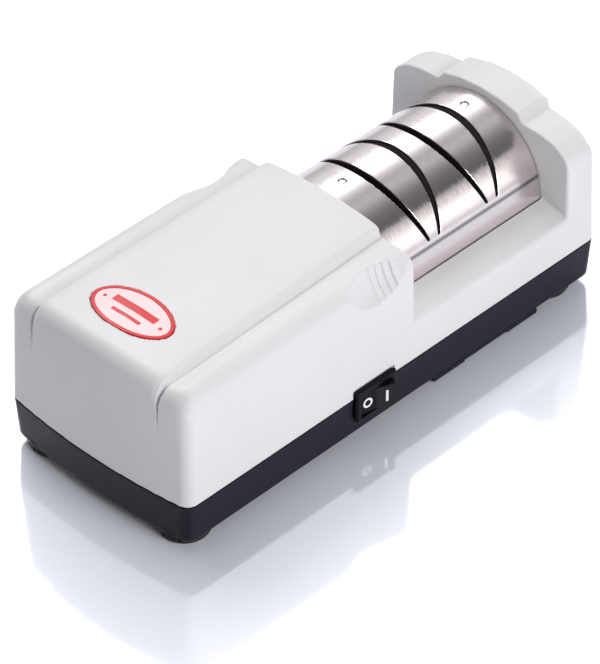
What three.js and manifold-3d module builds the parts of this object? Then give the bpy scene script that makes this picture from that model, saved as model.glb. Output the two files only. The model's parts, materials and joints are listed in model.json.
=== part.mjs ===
// Electric two-stage bench knife sharpener.
// Millimetres, +Z up. X runs along the body: the motor end is at -X, the end wall at +X.
// The switch is on the -Y side. The origin is on the table, under the middle of the body.

import * as THREE from 'three';
import { mergeVertices } from 'three/addons/utils/BufferGeometryUtils.js';
import Module from 'manifold-3d';

const wasm = await Module();
wasm.setup();

// ---------- Driving dimensions ----------

const GAP = 0.3; // clearance between neighbouring pieces
const RUNNING_FIT = 0.05; // radial clearance of the shaft in its bearings

// Body
const HALF_LENGTH = 115;
const HALF_WIDTH = 47;
const CORNER_RADIUS = 5;
const END_BOW = 2.9; // how far the end faces bulge in plan
const FOOT_HEIGHT = 3.6;
const SEAM_Z = 21.4; // joint between white housing and black base
const WALL = 2.3;
const HOUSING_DRAFT = Math.tan(THREE.MathUtils.degToRad(1.6));
const BASE_DRAFT = Math.tan(THREE.MathUtils.degToRad(3.2));

// Housing
const HOOD_END_X = 6.6; // hood face towards the cover
const END_WALL_X = 94.1; // end wall face towards the cover
const HOOD_TOP_Z = 77.9;
const END_WALL_TOP_Z = 78.7;
const CROWN_DROP = 3.6; // fall of the raised panel towards the motor end
const PANEL_FLARE = 2.9; // widening of the raised panel towards the motor end
const STEP_Y = 30;
const SHOULDER_Y = 40.7;
const HOOD_EDGE_RADIUS = 7;
const END_EDGE_RADIUS = 6;
const RAIL_OUTER_Z = 38.8;
const RAIL_INNER_Y = 34.15;
const RAIL_LIP = { y: 33.25, z: 42.65 }; // the ledge's inner edge leans with the cover
const RAIL_LIP_THICKNESS = 2;
const RAIL_BOTTOM_Z = 33;

// Finger scoops in the hood's shoulders: a shallow ball-shaped cut with grip ribs
const SCOOP = { x: -10.4, y: 62.6, z: 75.8, radius: 24.6 };
const SCOOP_RIB = { count: 4, startX: -10.1, pitch: 3, width: 1.4, height: 0.8 };

// Screw posts in the housing's corners
const POST = { radius: 4.2, bottomZ: 17.6, ribHalf: 1, ribBottomZ: 24, pilot: 1.9, tipWall: 1.2 };
const POST_TOP_Z = [44, 29.4]; // motor end, other end
const POST_RIB_X = [-110, 110];
const POST_RIB_Y = 45;

// Cord inlet through the rear side
const CORD_INLET = { x: -80, z: 34, bore: 3.3, hole: 5.2 };
const INLET_START_Y = 41.3;
const INLET_LENGTH = 9.28;

// Base
const BASE_WALL = 2.8;
const BASE_FLOOR_Z = 6.2; // upper side of the base's floor
const FOOT_X = [-101.4, 95.7];
const FOOT_Y = 34.2;
const BOSS_RADIUS = 10.9;
const INNER_BOSS_RADIUS = 5.5;
const PAD_RADIUS = 10.2;
const PAD_HEIGHT = 2.9;
const PAD_BORE_RADIUS = 4;
const SCREW_HEAD_HOLE_RADIUS = 3.6;
const SCREW_SHANK_HOLE_RADIUS = 1.9;
const TONGUE = { thickness: 1.4, bottomZ: 17, topZ: 23 }; // centres the housing on the base
const VENT = { count: 6, startX: -84, pitch: 5.4, width: 2.6, halfLength: 18 };
const DUST_HOLE = { x: [24, 77], y: 29 };
const BASE_INSIDE_Z = 5; // inner posts start here, inside the floor
const PARTITION_X = [4.6, 6.7];
const MOTOR_PAD = { x: [-60, -40], y: [18, 27], topZ: 11.7 };
const MOTOR_STOP = { x: [-56, -44], y: [27.3, 30], topZ: 30 };

// Grinding group
const AXIS_Z = 42.1; // shaft axis
const COVER_RADIUS = 33.1;
const SHEET = 1;
const COVER_CREASE_DEG = 18.5;
const COVER_FOOT_Y = 33.75;
const COVER_FOOT_Z = 36;
const GUIDE_BOTTOM_Z = 30;
const STAGE_X = [35.7, 68.1]; // centre of each wheel and its pair of slots
const SLOT_TILT = Math.tan(THREE.MathUtils.degToRad(18.7));
const SLOT_OFFSET_TOP = 9.7; // half the distance between two slots at the cover's top
const SLOT_WIDTH_TOP = 3.4;
const SLOT_WIDTH_LOW = 1.4;
const SLOT_LOW_Z = 54.6;
const WHEEL_RADIUS = 25;
const WHEEL_WIDTH = 5;
const PIN_X = [17.6, 85.4]; // round pins along the cover's ridge
const PIN_HEAD_RADIUS = 1.5;
const PIN_SHANK_RADIUS = 1.2;
const PIN_TOP = -0.3; // measured from the ridge: the heads sit just sunk in the cover's holes
const GUIDE_SCREW = { x: [13, 87], y: 19.5 };
const GUIDE_POST_RADIUS = 4.6;
const WHEEL_POCKET_HALF = 5; // half width of the room for one wheel
const TUNNEL_RADIUS = 6.2;
const TUNNEL_X = [0, 82];

// Shaft and motor
const SHAFT_RADIUS = 3;
const BUSH_RADIUS = 4;
const END_BEARING_RADIUS = 8;
const SEAL_RADIUS = 8.7;
const END_BEARING_X = [85, 90];
const BEARING_POST_Y = 12;
const BEARING_BORE_X = [80, 95]; // the half-round seat for the end bearing runs through this
const CAP_SCREW_X = 87.5;
const CAP_SCREW_Y = 10.1;
const CAP_TOP_Z = AXIS_Z + 9.7;
const CORE_X = [-61, -39];
const CORE = { halfWidth: 27, z: [12, 59.5], cornerCut: 6.5 };
const COIL_WINDOW = { halfWidth: 17, z: [19, 24.5] }; // the limb the coil sits on is below it
const BOBBIN = { halfLength: 16, wall: 0.8, flange: 1.1, flangeX: [-67, -33], flangeZ: [7.7, 23.4] };
const WINDING = { halfLength: 14.6, x: [-66.4, -33.6], z: [8, 23.1] };
const BRACKET = { halfLength: 26, halfHeight: 6.9, depth: 8.5, web: 5.8, footInnerY: 15.6 };
const BRACKET_BOSS = { radius: 6.5, from: 5.9, to: 11.5 };
const MOTOR_SCREW_HOLE_RADIUS = 2.2;
const FAN = { hubRadius: 6, hubX: [-84, -76], discRadius: 21, discX: [-77.2, -76] };
const FAN_BLADE = { count: 8, x: -80.2, length: 7, thickness: 1.2, height: 16, middle: 13 };
const BORE_RADIUS = 13.5;
const ROTOR_RADIUS = 13.1;
const MOTOR_SCREW_Y = 20.5;

// Switch
const SWITCH = { x: -14.2, z: 17.6, width: 21.6, height: 14.6, cornerRadius: 1.5 };
const SWITCH_FACE_Y = -48.7;
const SWITCH_SEAT_Y = -46;
const SWITCH_BODY = { x: [-23.6, -4.8], z: [10.9, 22.9], backY: -31 };
const SWITCH_OPENING = { x: [-22.8, -5.6], z: [11.6, 21.8], backY: -36 };
const ROCKER_AXIS = { y: -47.6, z: 16.7 };
const ROCKER_RADIUS = 8.2;
const ROCKER_CREST_DEG = 15.6; // how far round from the pivot line each end rises
const ROCKER_MIDDLE = 1; // how far the middle of its face is outside the pivot
const ROCKER_HALF_HEIGHT = 4.8;
const ROCKER_TILT = THREE.MathUtils.degToRad(-16);

// Badge
const BADGE = { x: -90.7, y: 1.3, rx: 10.5, ry: 19 };
const BADGE_RECESS = 0.9;
const BADGE_PROUD = 0.3;

// Filings tray
const TRAY = { x: [18.5, 82.5], y: [-45.4, 31], floorZ: 1, flangeZ: 2.4, topZ: 3.3 };
const TRAY_FLANGE = 2.6;
const RUNNER = { lip: 2.2, web: 1.6, y: [-38, 33], z: [1.2, 2.1], topZ: 4.4 };

// ---------- Materials ----------

function material(color, roughness, metalness) {
  return new THREE.MeshStandardMaterial({ color, roughness, metalness });
}

const whitePlastic = material(0xe6e6e8, 0.45, 0);
const blackPlastic = material(0x2e3036, 0.5, 0);
const switchPlastic = material(0x1f2024, 0.35, 0);
const rubber = material(0x1a1a1b, 0.9, 0);
const brushedSteel = material(0xb9bbbd, 0.3, 1);
const zincSteel = material(0x9a9da1, 0.4, 1);
const darkSteel = material(0x55585c, 0.5, 1);
const copper = material(0xb4693a, 0.4, 1);
const bronze = material(0xa07a48, 0.5, 1);
const brass = material(0xb99a55, 0.4, 1);
const nylon = material(0xd8d3c4, 0.6, 0);
const coarseAbrasive = material(0x8c4a3c, 0.95, 0);
const fineAbrasive = material(0xd9d6d0, 0.9, 0);
const felt = material(0x8d8a83, 1, 0);
const badgeRed = material(0xc8343a, 0.35, 0);
const wireCover = material(0x1d3f7a, 0.5, 0);

// ---------- Solids ----------

const solid = (geometry) => {
  const bare = geometry.index ? geometry.toNonIndexed() : geometry.clone();
  bare.deleteAttribute('normal');
  bare.deleteAttribute('uv');
  const merged = mergeVertices(bare, 1e-4);
  const mesh = new wasm.Mesh({
    numProp: 3,
    vertProperties: new Float32Array(merged.attributes.position.array),
    triVerts: new Uint32Array(merged.index.array),
  });
  return new wasm.Manifold(mesh);
};

function geometryOf(body) {
  const mesh = body.getMesh();
  const geometry = new THREE.BufferGeometry();
  geometry.setAttribute('position', new THREE.BufferAttribute(mesh.vertProperties, 3));
  geometry.setIndex(new THREE.BufferAttribute(mesh.triVerts, 1));
  geometry.computeVertexNormals();
  return geometry;
}

function shapeOf(points) {
  return new THREE.Shape(points.map(([a, b]) => new THREE.Vector2(a, b)));
}

function extrude(shape, depth, steps = 1, curveSegments = 8) {
  return new THREE.ExtrudeGeometry(shape, { depth, steps, curveSegments, bevelEnabled: false });
}

// An outline in (x, y), extruded from z0 to z1.
function prismZ(points, z0, z1) {
  const geometry = extrude(shapeOf(points), z1 - z0);
  return solid(geometry.translate(0, 0, z0));
}

const SHAPE_TO_YZ = new THREE.Matrix4().makeBasis(
  new THREE.Vector3(0, 1, 0),
  new THREE.Vector3(0, 0, 1),
  new THREE.Vector3(1, 0, 0),
);

const SHAPE_TO_XZ = new THREE.Matrix4().makeBasis(
  new THREE.Vector3(1, 0, 0),
  new THREE.Vector3(0, 0, 1),
  new THREE.Vector3(0, -1, 0),
);

// An outline in (y, z), extruded from x0 to x1.
function prismX(points, x0, x1) {
  const geometry = extrude(shapeOf(points), x1 - x0).applyMatrix4(SHAPE_TO_YZ);
  return solid(geometry.translate(x0, 0, 0));
}

// An outline in (x, z), extruded from y0 to y1.
function prismY(points, y0, y1) {
  const geometry = extrude(shapeOf(points), y1 - y0).applyMatrix4(SHAPE_TO_XZ);
  return solid(geometry.translate(0, y1, 0));
}

function box([x0, x1], [y0, y1], [z0, z1]) {
  const geometry = new THREE.BoxGeometry(x1 - x0, y1 - y0, z1 - z0);
  return solid(geometry.translate((x0 + x1) / 2, (y0 + y1) / 2, (z0 + z1) / 2));
}

function cylinder(radius, length, segments = 24) {
  return new THREE.CylinderGeometry(radius, radius, length, segments);
}

// Round bars along each axis. The two other coordinates give the bar's centre line.
function rodX(radius, [x0, x1], y, z, segments) {
  const geometry = cylinder(radius, x1 - x0, segments).rotateZ(-Math.PI / 2);
  return solid(geometry.translate((x0 + x1) / 2, y, z));
}

function rodY(radius, x, [y0, y1], z, segments) {
  return solid(cylinder(radius, y1 - y0, segments).translate(x, (y0 + y1) / 2, z));
}

function rodZ(radius, x, y, [z0, z1], segments) {
  const geometry = cylinder(radius, z1 - z0, segments).rotateX(Math.PI / 2);
  return solid(geometry.translate(x, y, (z0 + z1) / 2));
}

const joined = (bodies) => bodies.reduce((sum, body) => sum.add(body));
const mirroredY = (body) => body.mirror([0, 1, 0]);
const bothSides = (body) => body.add(mirroredY(body));
const clamp01 = (value) => Math.min(1, Math.max(0, value));
const span = (a, b) => [Math.min(a, b), Math.max(a, b)];

// The closed outline of a shape that is given for positive y only, from outside to middle.
function symmetric(half) {
  const left = half.map(([y, z]) => [-y, z]).reverse();
  return [...half, ...left.filter(([y]) => y !== 0)].reverse();
}

// ---------- Body outline in plan ----------

function planOutline(inset) {
  const halfLength = HALF_LENGTH - inset;
  const halfWidth = HALF_WIDTH - inset;
  const radius = Math.max(1, CORNER_RADIUS - inset);
  const straightY = halfWidth - radius;
  const cornerX = halfLength - END_BOW - radius;
  const points = [];
  const bowSteps = 6;
  for (let i = 0; i <= bowSteps; i += 1) {
    const y = straightY * ((2 * i) / bowSteps - 1);
    points.push([halfLength - END_BOW * (y / straightY) ** 2, y]);
  }
  const cornerSteps = 4;
  for (let i = 1; i <= cornerSteps; i += 1) {
    const angle = (i / cornerSteps) * (Math.PI / 2);
    points.push([cornerX + radius * Math.cos(angle), straightY + radius * Math.sin(angle)]);
  }
  const quarter = points.slice(bowSteps / 2).map(([x, y]) => [x, Math.max(0, y)]);
  const right = [...quarter.slice(1).reverse().map(([x, y]) => [x, -y]), ...quarter];
  const left = right.map(([x, y]) => [-x, -y]);
  return [...right, ...left];
}

// The plan outline as a solid between two heights. halfWidthAt gives its half width at a height.
function planSolid(inset, heights, halfWidthAt) {
  const count = heights.length - 1;
  const geometry = extrude(shapeOf(planOutline(inset)), count, count);
  const place = geometry.attributes.position;
  for (let i = 0; i < place.count; i += 1) {
    const z = heights[Math.round(place.getZ(i))];
    const shrink = HALF_WIDTH - inset - halfWidthAt(z);
    const x = place.getX(i) * (1 - shrink / (HALF_LENGTH - inset));
    const y = place.getY(i) * (1 - shrink / (HALF_WIDTH - inset));
    place.setXYZ(i, x, y, z);
  }
  return solid(geometry);
}

const housingHalfWidth = (z) => HALF_WIDTH - HOUSING_DRAFT * (z - SEAM_Z);
const baseHalfWidth = (z) => HALF_WIDTH - BASE_DRAFT * (SEAM_Z - z);

// ---------- White housing ----------

const HOUSING_BOTTOM_Z = SEAM_Z + GAP / 2;
const OUTSIDE_Y = HALF_WIDTH + 2;

// Half of the hood's section, from its bottom corner to the middle of its top.
function hoodHalf(inset) {
  return [
    [OUTSIDE_Y - inset, HOUSING_BOTTOM_Z],
    [OUTSIDE_Y - inset, 58],
    [47 - inset, 62.5 - inset],
    [45.6 - inset, 66.4 - inset],
    [43.6 - inset, 68.8 - inset],
    [SHOULDER_Y - inset, 70.1 - inset],
    [36 - inset, 70.9 - inset],
    [STEP_Y - inset, 71.6 - inset],
    [29.2 - inset, 74.6 - inset],
    [27.4 - inset, 75.7 - inset],
    [20 - inset, 76.7 - inset],
    [10, 77.5 - inset],
    [0, HOOD_TOP_Z - inset],
  ];
}

// Half of the end wall's section.
function endWallHalf(inset) {
  return [
    [OUTSIDE_Y - inset, HOUSING_BOTTOM_Z],
    [OUTSIDE_Y - inset, 59],
    [46.6 - inset, 62 - inset],
    [44 - inset, 66.4 - inset],
    [38.5 - inset, 70.2 - inset],
    [31 - inset, 71.8 - inset],
    [22.4 - inset, 72.1 - inset],
    [19.4 - inset, 75.8 - inset],
    [10, 78 - inset],
    [0, END_WALL_TOP_Z - inset],
  ];
}

// A quarter-round edge: how far the surface falls at a distance from the end face.
function edgeFall(distance, radius) {
  const run = radius - Math.min(radius, Math.max(0, distance));
  return radius - Math.sqrt(radius * radius - run * run);
}

// A section swept along X through the given stations, then reshaped point by point.
function sweepX(half, stations, reshape) {
  const count = stations.length - 1;
  const geometry = extrude(shapeOf(symmetric(half)), count, count).applyMatrix4(SHAPE_TO_YZ);
  const place = geometry.attributes.position;
  for (let i = 0; i < place.count; i += 1) {
    const station = stations[Math.round(place.getX(i))];
    const point = reshape(station, place.getY(i), place.getZ(i));
    place.setXYZ(i, ...point);
  }
  return solid(geometry);
}

const EDGE_STEPS = [0, 0.04, 0.18, 0.5, 1]; // share of an edge radius
const HOOD_STATION_X = -80; // where the hood's bow has faded out
const HOOD_BOW_REACH = 30;
const END_BOW_REACH = 15;
const OVERRUN = 5; // how far a sweep runs past the plan outline that trims it
const TOP_HALF_LENGTH = HALF_LENGTH - HOUSING_DRAFT * (HOOD_TOP_Z - HOOD_EDGE_RADIUS - SEAM_Z);
const TOP_ZONE_Z = 50; // only points above this belong to the top

const bowAt = (y) => END_BOW * (y / (HALF_WIDTH - CORNER_RADIUS)) ** 2;

function hoodSweep(inset, endX) {
  const startX = inset - TOP_HALF_LENGTH;
  const radius = HOOD_EDGE_RADIUS - inset;
  const edge = EDGE_STEPS.map((share) => startX + share * radius);
  const stations = [startX - OVERRUN, ...edge, HOOD_STATION_X, endX];
  return sweepX(hoodHalf(inset), stations, (x, y, z) => {
    const fromEnd = x - startX;
    const towardsMotor = (HOOD_END_X - x) / (HOOD_END_X + HALF_LENGTH);
    const panel = clamp01((SHOULDER_Y - Math.abs(y)) / (SHOULDER_Y - STEP_Y));
    if (z < TOP_ZONE_Z) return [x, y, z];
    const bow = bowAt(y) * clamp01(1 - fromEnd / HOOD_BOW_REACH);
    const fall = CROWN_DROP * towardsMotor * panel + edgeFall(fromEnd, radius);
    const flare = Math.sign(y) * PANEL_FLARE * towardsMotor * clamp01(Math.abs(y) / STEP_Y) * panel;
    return [x + bow, y + flare, z - fall];
  });
}

function endWallSweep(inset, startX) {
  const endX = TOP_HALF_LENGTH - inset;
  const radius = END_EDGE_RADIUS - inset;
  const edge = EDGE_STEPS.map((share) => endX - share * radius).reverse();
  const stations = [startX, ...edge, endX + OVERRUN];
  return sweepX(endWallHalf(inset), stations, (x, y, z) => {
    if (z < TOP_ZONE_Z) return [x, y, z];
    const bow = bowAt(y) * clamp01(1 - (endX - x) / END_BOW_REACH);
    return [x - bow, y, z - edgeFall(endX - x, radius)];
  });
}

// One ledge beside the cover: outer wall, sloping top and inner lip.
function rail() {
  return prismX(
    [
      [RAIL_LIP.y, RAIL_LIP.z],
      [RAIL_INNER_Y, COVER_FOOT_Z],
      [RAIL_INNER_Y, RAIL_BOTTOM_Z],
      [RAIL_INNER_Y + RAIL_LIP_THICKNESS, RAIL_BOTTOM_Z],
      [RAIL_INNER_Y + RAIL_LIP_THICKNESS, RAIL_LIP.z - 3],
      [HALF_WIDTH - WALL, RAIL_OUTER_Z - 2],
      [HALF_WIDTH - WALL, HOUSING_BOTTOM_Z],
      [OUTSIDE_Y, HOUSING_BOTTOM_Z],
      [OUTSIDE_Y, RAIL_OUTER_Z - 0.4],
      [HALF_WIDTH - 1, RAIL_OUTER_Z],
    ].reverse(),
    HOOD_END_X - WALL,
    END_WALL_X + WALL,
  );
}

function scoopBall(grow) {
  const geometry = new THREE.SphereGeometry(SCOOP.radius + grow, 40, 24);
  return solid(geometry.translate(SCOOP.x, -SCOOP.y, SCOOP.z));
}

// What the finger scoop on the -Y side removes, with its grip ribs left standing.
function scoopCutter() {
  const slabs = [];
  for (let i = 0; i < SCOOP_RIB.count; i += 1) {
    const x = SCOOP_RIB.startX + i * SCOOP_RIB.pitch;
    slabs.push(box([x, x + SCOOP_RIB.width], [-OUTSIDE_Y, 0], [TOP_ZONE_Z, HOOD_TOP_Z]));
  }
  const ribs = joined(slabs).subtract(scoopBall(-SCOOP_RIB.height));
  return scoopBall(0).subtract(ribs);
}

const grown = ([low, high], by) => [low - by, high + by];

function switchHole() {
  return box(grown(SWITCH_BODY.x, GAP), [-60, -40], grown(SWITCH_BODY.z, GAP));
}

// The flat recess behind the switch's rim.
function switchSeat() {
  const x = [SWITCH.x - SWITCH.width / 2 - GAP, SWITCH.x + SWITCH.width / 2 + GAP];
  const z = [SWITCH.z - SWITCH.height / 2 - GAP, SWITCH.z + SWITCH.height / 2 + GAP];
  return box(x, [-60, SWITCH_SEAT_Y], z);
}

function badgePrism(grow) {
  const shape = new THREE.Shape();
  shape.absellipse(BADGE.x, BADGE.y, BADGE.rx + grow, BADGE.ry + grow, 0, Math.PI * 2);
  return solid(extrude(shape, HOOD_TOP_Z, 1, 16).translate(0, 0, TOP_ZONE_Z));
}

const hoodOuter = hoodSweep(0, HOOD_END_X);

// The posts in the corners that the base screws run into.
function screwPost(end, side) {
  const x = FOOT_X[end];
  const y = side * FOOT_Y;
  const topZ = POST_TOP_Z[end];
  const ribZ = [POST.ribBottomZ, topZ];
  const post = rodZ(POST.radius, x, y, [POST.bottomZ, topZ], 12);
  const sideRib = box([x - POST.ribHalf, x + POST.ribHalf], span(y, side * POST_RIB_Y), ribZ);
  const endRib = box(span(x, POST_RIB_X[end]), [y - POST.ribHalf, y + POST.ribHalf], ribZ);
  const pilot = rodZ(POST.pilot, x, y, [0, topZ - POST.tipWall], 10);
  return { body: joined([post, sideRib, endRib]), pilot };
}

function upperHousing() {
  const heights = [HOUSING_BOTTOM_Z, 90];
  const outerPlan = planSolid(0, heights, housingHalfWidth);
  const innerPlan = planSolid(WALL, [0, 90], (z) => housingHalfWidth(z) - WALL);
  const outer = joined([hoodOuter, endWallSweep(0, END_WALL_X), rail(), mirroredY(rail())]);
  const scoopBack = bothSides(scoopBall(WALL));
  const hoodSpace = hoodSweep(WALL, HOOD_END_X - WALL).subtract(scoopBack);
  const endSpace = endWallSweep(WALL, END_WALL_X + WALL);
  const space = hoodSpace.add(endSpace).intersect(innerPlan);
  const opened = space.add(space.translate(0, 0, -10));
  let body = outer.intersect(outerPlan).subtract(opened);
  for (const end of [0, 1]) {
    for (const side of [-1, 1]) {
      const { body: post, pilot } = screwPost(end, side);
      body = body.add(post).subtract(pilot);
    }
  }
  const recess = badgePrism(GAP).subtract(hoodOuter.translate(0, 0, -BADGE_RECESS));
  const sealHole = rodX(SEAL_RADIUS + GAP, [0, 10], 0, AXIS_Z, 24);
  const inlet = rodY(CORD_INLET.hole, CORD_INLET.x, [35, 60], CORD_INLET.z, 20);
  const cuts = [bothSides(scoopCutter()), switchHole(), switchSeat(), recess, sealHole, inlet];
  return body.subtract(joined(cuts));
}

function badgePlate() {
  const top = hoodOuter.translate(0, 0, BADGE_PROUD);
  const underside = hoodOuter.translate(0, 0, GAP - BADGE_RECESS);
  return badgePrism(0).intersect(top).subtract(underside);
}

// ---------- Black base ----------

const BASE_TOP_Z = SEAM_Z - GAP / 2;

function footBoss(x, y) {
  const outside = rodZ(BOSS_RADIUS, x, y, [FOOT_HEIGHT - 1.9, BASE_FLOOR_Z], 20);
  const inside = rodZ(INNER_BOSS_RADIUS, x, y, [FOOT_HEIGHT, POST.bottomZ - 0.6], 12);
  return outside.add(inside);
}

function footHoles(x, y) {
  const padSeat = rodZ(PAD_RADIUS + GAP, x, y, [0, PAD_HEIGHT + GAP], 20);
  return joined([padSeat, screwHole(x, y, 8, 30)]);
}

// A screw's way in from below: a wide hole for its head and a narrow one for its shank.
function screwHole(x, y, headZ, shankZ) {
  const head = rodZ(SCREW_HEAD_HOLE_RADIUS, x, y, [0, headZ], 12);
  return head.add(rodZ(SCREW_SHANK_HOLE_RADIUS, x, y, [0, shankZ], 10));
}

// A rail under the base, L-shaped in section, that carries one edge of the tray.
function trayRunner(side) {
  const edge = side < 0 ? TRAY.x[0] : TRAY.x[1];
  const web = edge + side * GAP;
  const x = (distance) => web + side * distance;
  const outline = [
    [x(0), RUNNER.topZ],
    [x(0), RUNNER.z[1]],
    [x(-RUNNER.lip), RUNNER.z[1]],
    [x(-RUNNER.lip), RUNNER.z[0]],
    [x(RUNNER.web), RUNNER.z[0]],
    [x(RUNNER.web), RUNNER.topZ],
  ];
  return prismY(side < 0 ? outline : outline.reverse(), ...RUNNER.y);
}

function ventSlots() {
  const slots = [];
  for (let i = 0; i < VENT.count; i += 1) {
    const x = VENT.startX + VENT.pitch * i;
    const y = [-VENT.halfLength, VENT.halfLength];
    slots.push(box([x, x + VENT.width], y, [0, BASE_FLOOR_Z + 2]));
  }
  return joined(slots);
}

// The base's hollow shell with the tongue that reaches up inside the housing.
function baseShell() {
  const heights = [FOOT_HEIGHT, FOOT_HEIGHT + 0.4, FOOT_HEIGHT + 1.3, BASE_TOP_Z];
  const edgeInset = new Map([[heights[0], 1.3], [heights[1], 0.5], [heights[2], 0]]);
  const outer = planSolid(0, heights, (z) => baseHalfWidth(z) - (edgeInset.get(z) ?? 0));
  const insideWidth = (z) => baseHalfWidth(Math.min(z, SEAM_Z)) - BASE_WALL;
  const inner = planSolid(BASE_WALL, [BASE_FLOOR_Z, SEAM_Z + 10], insideWidth);
  const tongueInset = WALL + GAP;
  const tongueWidth = HALF_WIDTH - tongueInset;
  const outside = planSolid(tongueInset, [TONGUE.bottomZ, TONGUE.topZ], () => tongueWidth - 0.1);
  const inside = planSolid(
    tongueInset + TONGUE.thickness,
    [TONGUE.bottomZ - 1, TONGUE.topZ + 1],
    () => tongueWidth - TONGUE.thickness,
  );
  const notches = [HOOD_END_X - WALL, END_WALL_X].map((x) =>
    box([x - 0.5, x + WALL + 0.5], [-HALF_WIDTH, HALF_WIDTH], [BASE_TOP_Z, TONGUE.topZ + 1]),
  );
  return outer.subtract(inner).add(outside.subtract(inside)).subtract(joined(notches));
}

function baseTray() {
  const floor = BASE_INSIDE_Z;
  const partition = box(PARTITION_X, [-43, 43], [floor, BASE_TOP_Z - 0.4]);
  const motorPads = bothSides(box(MOTOR_PAD.x, MOTOR_PAD.y, [floor, MOTOR_PAD.topZ]));
  const motorStops = bothSides(box(MOTOR_STOP.x, MOTOR_STOP.y, [floor, MOTOR_STOP.topZ]));
  const bearingPost = box(END_BEARING_X, [-BEARING_POST_Y, BEARING_POST_Y], [floor, AXIS_Z]);
  const bearingSeat = rodX(END_BEARING_RADIUS + GAP, BEARING_BORE_X, 0, AXIS_Z, 32);
  const capPilots = [-1, 1].map((side) =>
    rodZ(1.4, CAP_SCREW_X, side * CAP_SCREW_Y, [28, AXIS_Z + 3], 12),
  );
  const pieces = [partition, motorPads, motorStops, bearingPost, trayRunner(-1), trayRunner(1)];
  const dustHole = box(DUST_HOLE.x, [-DUST_HOLE.y, DUST_HOLE.y], [0, BASE_FLOOR_Z + 2]);
  const holes = [bearingSeat, ...capPilots, ventSlots(), switchHole(), switchSeat(), dustHole];
  for (const side of [-1, 1]) {
    for (const x of FOOT_X) {
      pieces.push(footBoss(x, side * FOOT_Y));
      holes.push(footHoles(x, side * FOOT_Y));
    }
    for (const x of GUIDE_SCREW.x) {
      const y = side * GUIDE_SCREW.y;
      pieces.push(rodZ(GUIDE_POST_RADIUS, x, y, [floor, GUIDE_BOTTOM_Z - GAP], 12));
      holes.push(screwHole(x, y, 7.5, 40));
    }
  }
  return baseShell().add(joined(pieces)).subtract(joined(holes));
}

// ---------- Filings tray ----------

function filingsTray() {
  const [x0, x1] = TRAY.x;
  const [y0, y1] = TRAY.y;
  const flange = TRAY_FLANGE;
  const top = TRAY.topZ;
  const pan = box([x0 + flange, x1 - flange], [y0 + 1, y1], [TRAY.floorZ, top]);
  const flanges = box([x0, x1], [y0 + 1, y1], [TRAY.flangeZ, top]);
  const hollowX = [x0 + flange + 1, x1 - flange - 1];
  const hollow = box(hollowX, [y0 + 4, y1 - 1.2], [TRAY.floorZ + 1, top + 1]);
  const lip = box([x0 + flange, x1 - flange], [y0, y0 + 3], [TRAY.floorZ, top]);
  return joined([pan, flanges, lip]).subtract(hollow);
}

// ---------- Cover and blade guide ----------

// One slot: a tilted wedge, wider at the top, running right across the cover.
function slotCutter(stageX, side, grow) {
  const topZ = AXIS_Z + COVER_RADIUS + 2;
  const centre = (z) => stageX + side * (SLOT_OFFSET_TOP - SLOT_TILT * (AXIS_Z + COVER_RADIUS - z));
  const half = (z) => {
    const share = (z - SLOT_LOW_Z) / (AXIS_Z + COVER_RADIUS - SLOT_LOW_Z);
    return (SLOT_WIDTH_LOW + (SLOT_WIDTH_TOP - SLOT_WIDTH_LOW) * share) / 2 + grow;
  };
  const low = SLOT_LOW_Z - grow;
  const outline = [
    [centre(low) - half(low), low],
    [centre(low) + half(low), low],
    [centre(topZ) + half(topZ), topZ],
    [centre(topZ) - half(topZ), topZ],
  ];
  return prismY(outline, -COVER_RADIUS - 2, COVER_RADIUS + 2);
}

function allSlots(grow) {
  return joined(STAGE_X.flatMap((x) => [-1, 1].map((side) => slotCutter(x, side, grow))));
}

// Half-round outline from the foot on one side to the foot on the other.
function archPoints(radius, footY, footZ) {
  const points = [[footY, footZ]];
  const steps = 20;
  const from = COVER_CREASE_DEG;
  for (let i = 0; i <= steps; i += 1) {
    const angle = THREE.MathUtils.degToRad(from + ((180 - 2 * from) * i) / steps);
    points.push([radius * Math.cos(angle), AXIS_Z + radius * Math.sin(angle)]);
  }
  points.push([-footY, footZ]);
  return points;
}

const COVER_X = [HOOD_END_X + 0.4, END_WALL_X - 0.4];

function guideCover() {
  const outer = archPoints(COVER_RADIUS, COVER_FOOT_Y, COVER_FOOT_Z);
  const inner = archPoints(COVER_RADIUS - SHEET, COVER_FOOT_Y - SHEET, COVER_FOOT_Z);
  const sheet = prismX([...outer, ...inner.reverse()], ...COVER_X);
  return sheet.subtract(joined([allSlots(0), pinHoles(PIN_HEAD_RADIUS + GAP)]));
}

function pinHoles(radius) {
  const throughRidge = [AXIS_Z + COVER_RADIUS - 15, AXIS_Z + COVER_RADIUS + 5];
  return joined(PIN_X.map((x) => rodZ(radius, x, 0, throughRidge, 12)));
}

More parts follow.
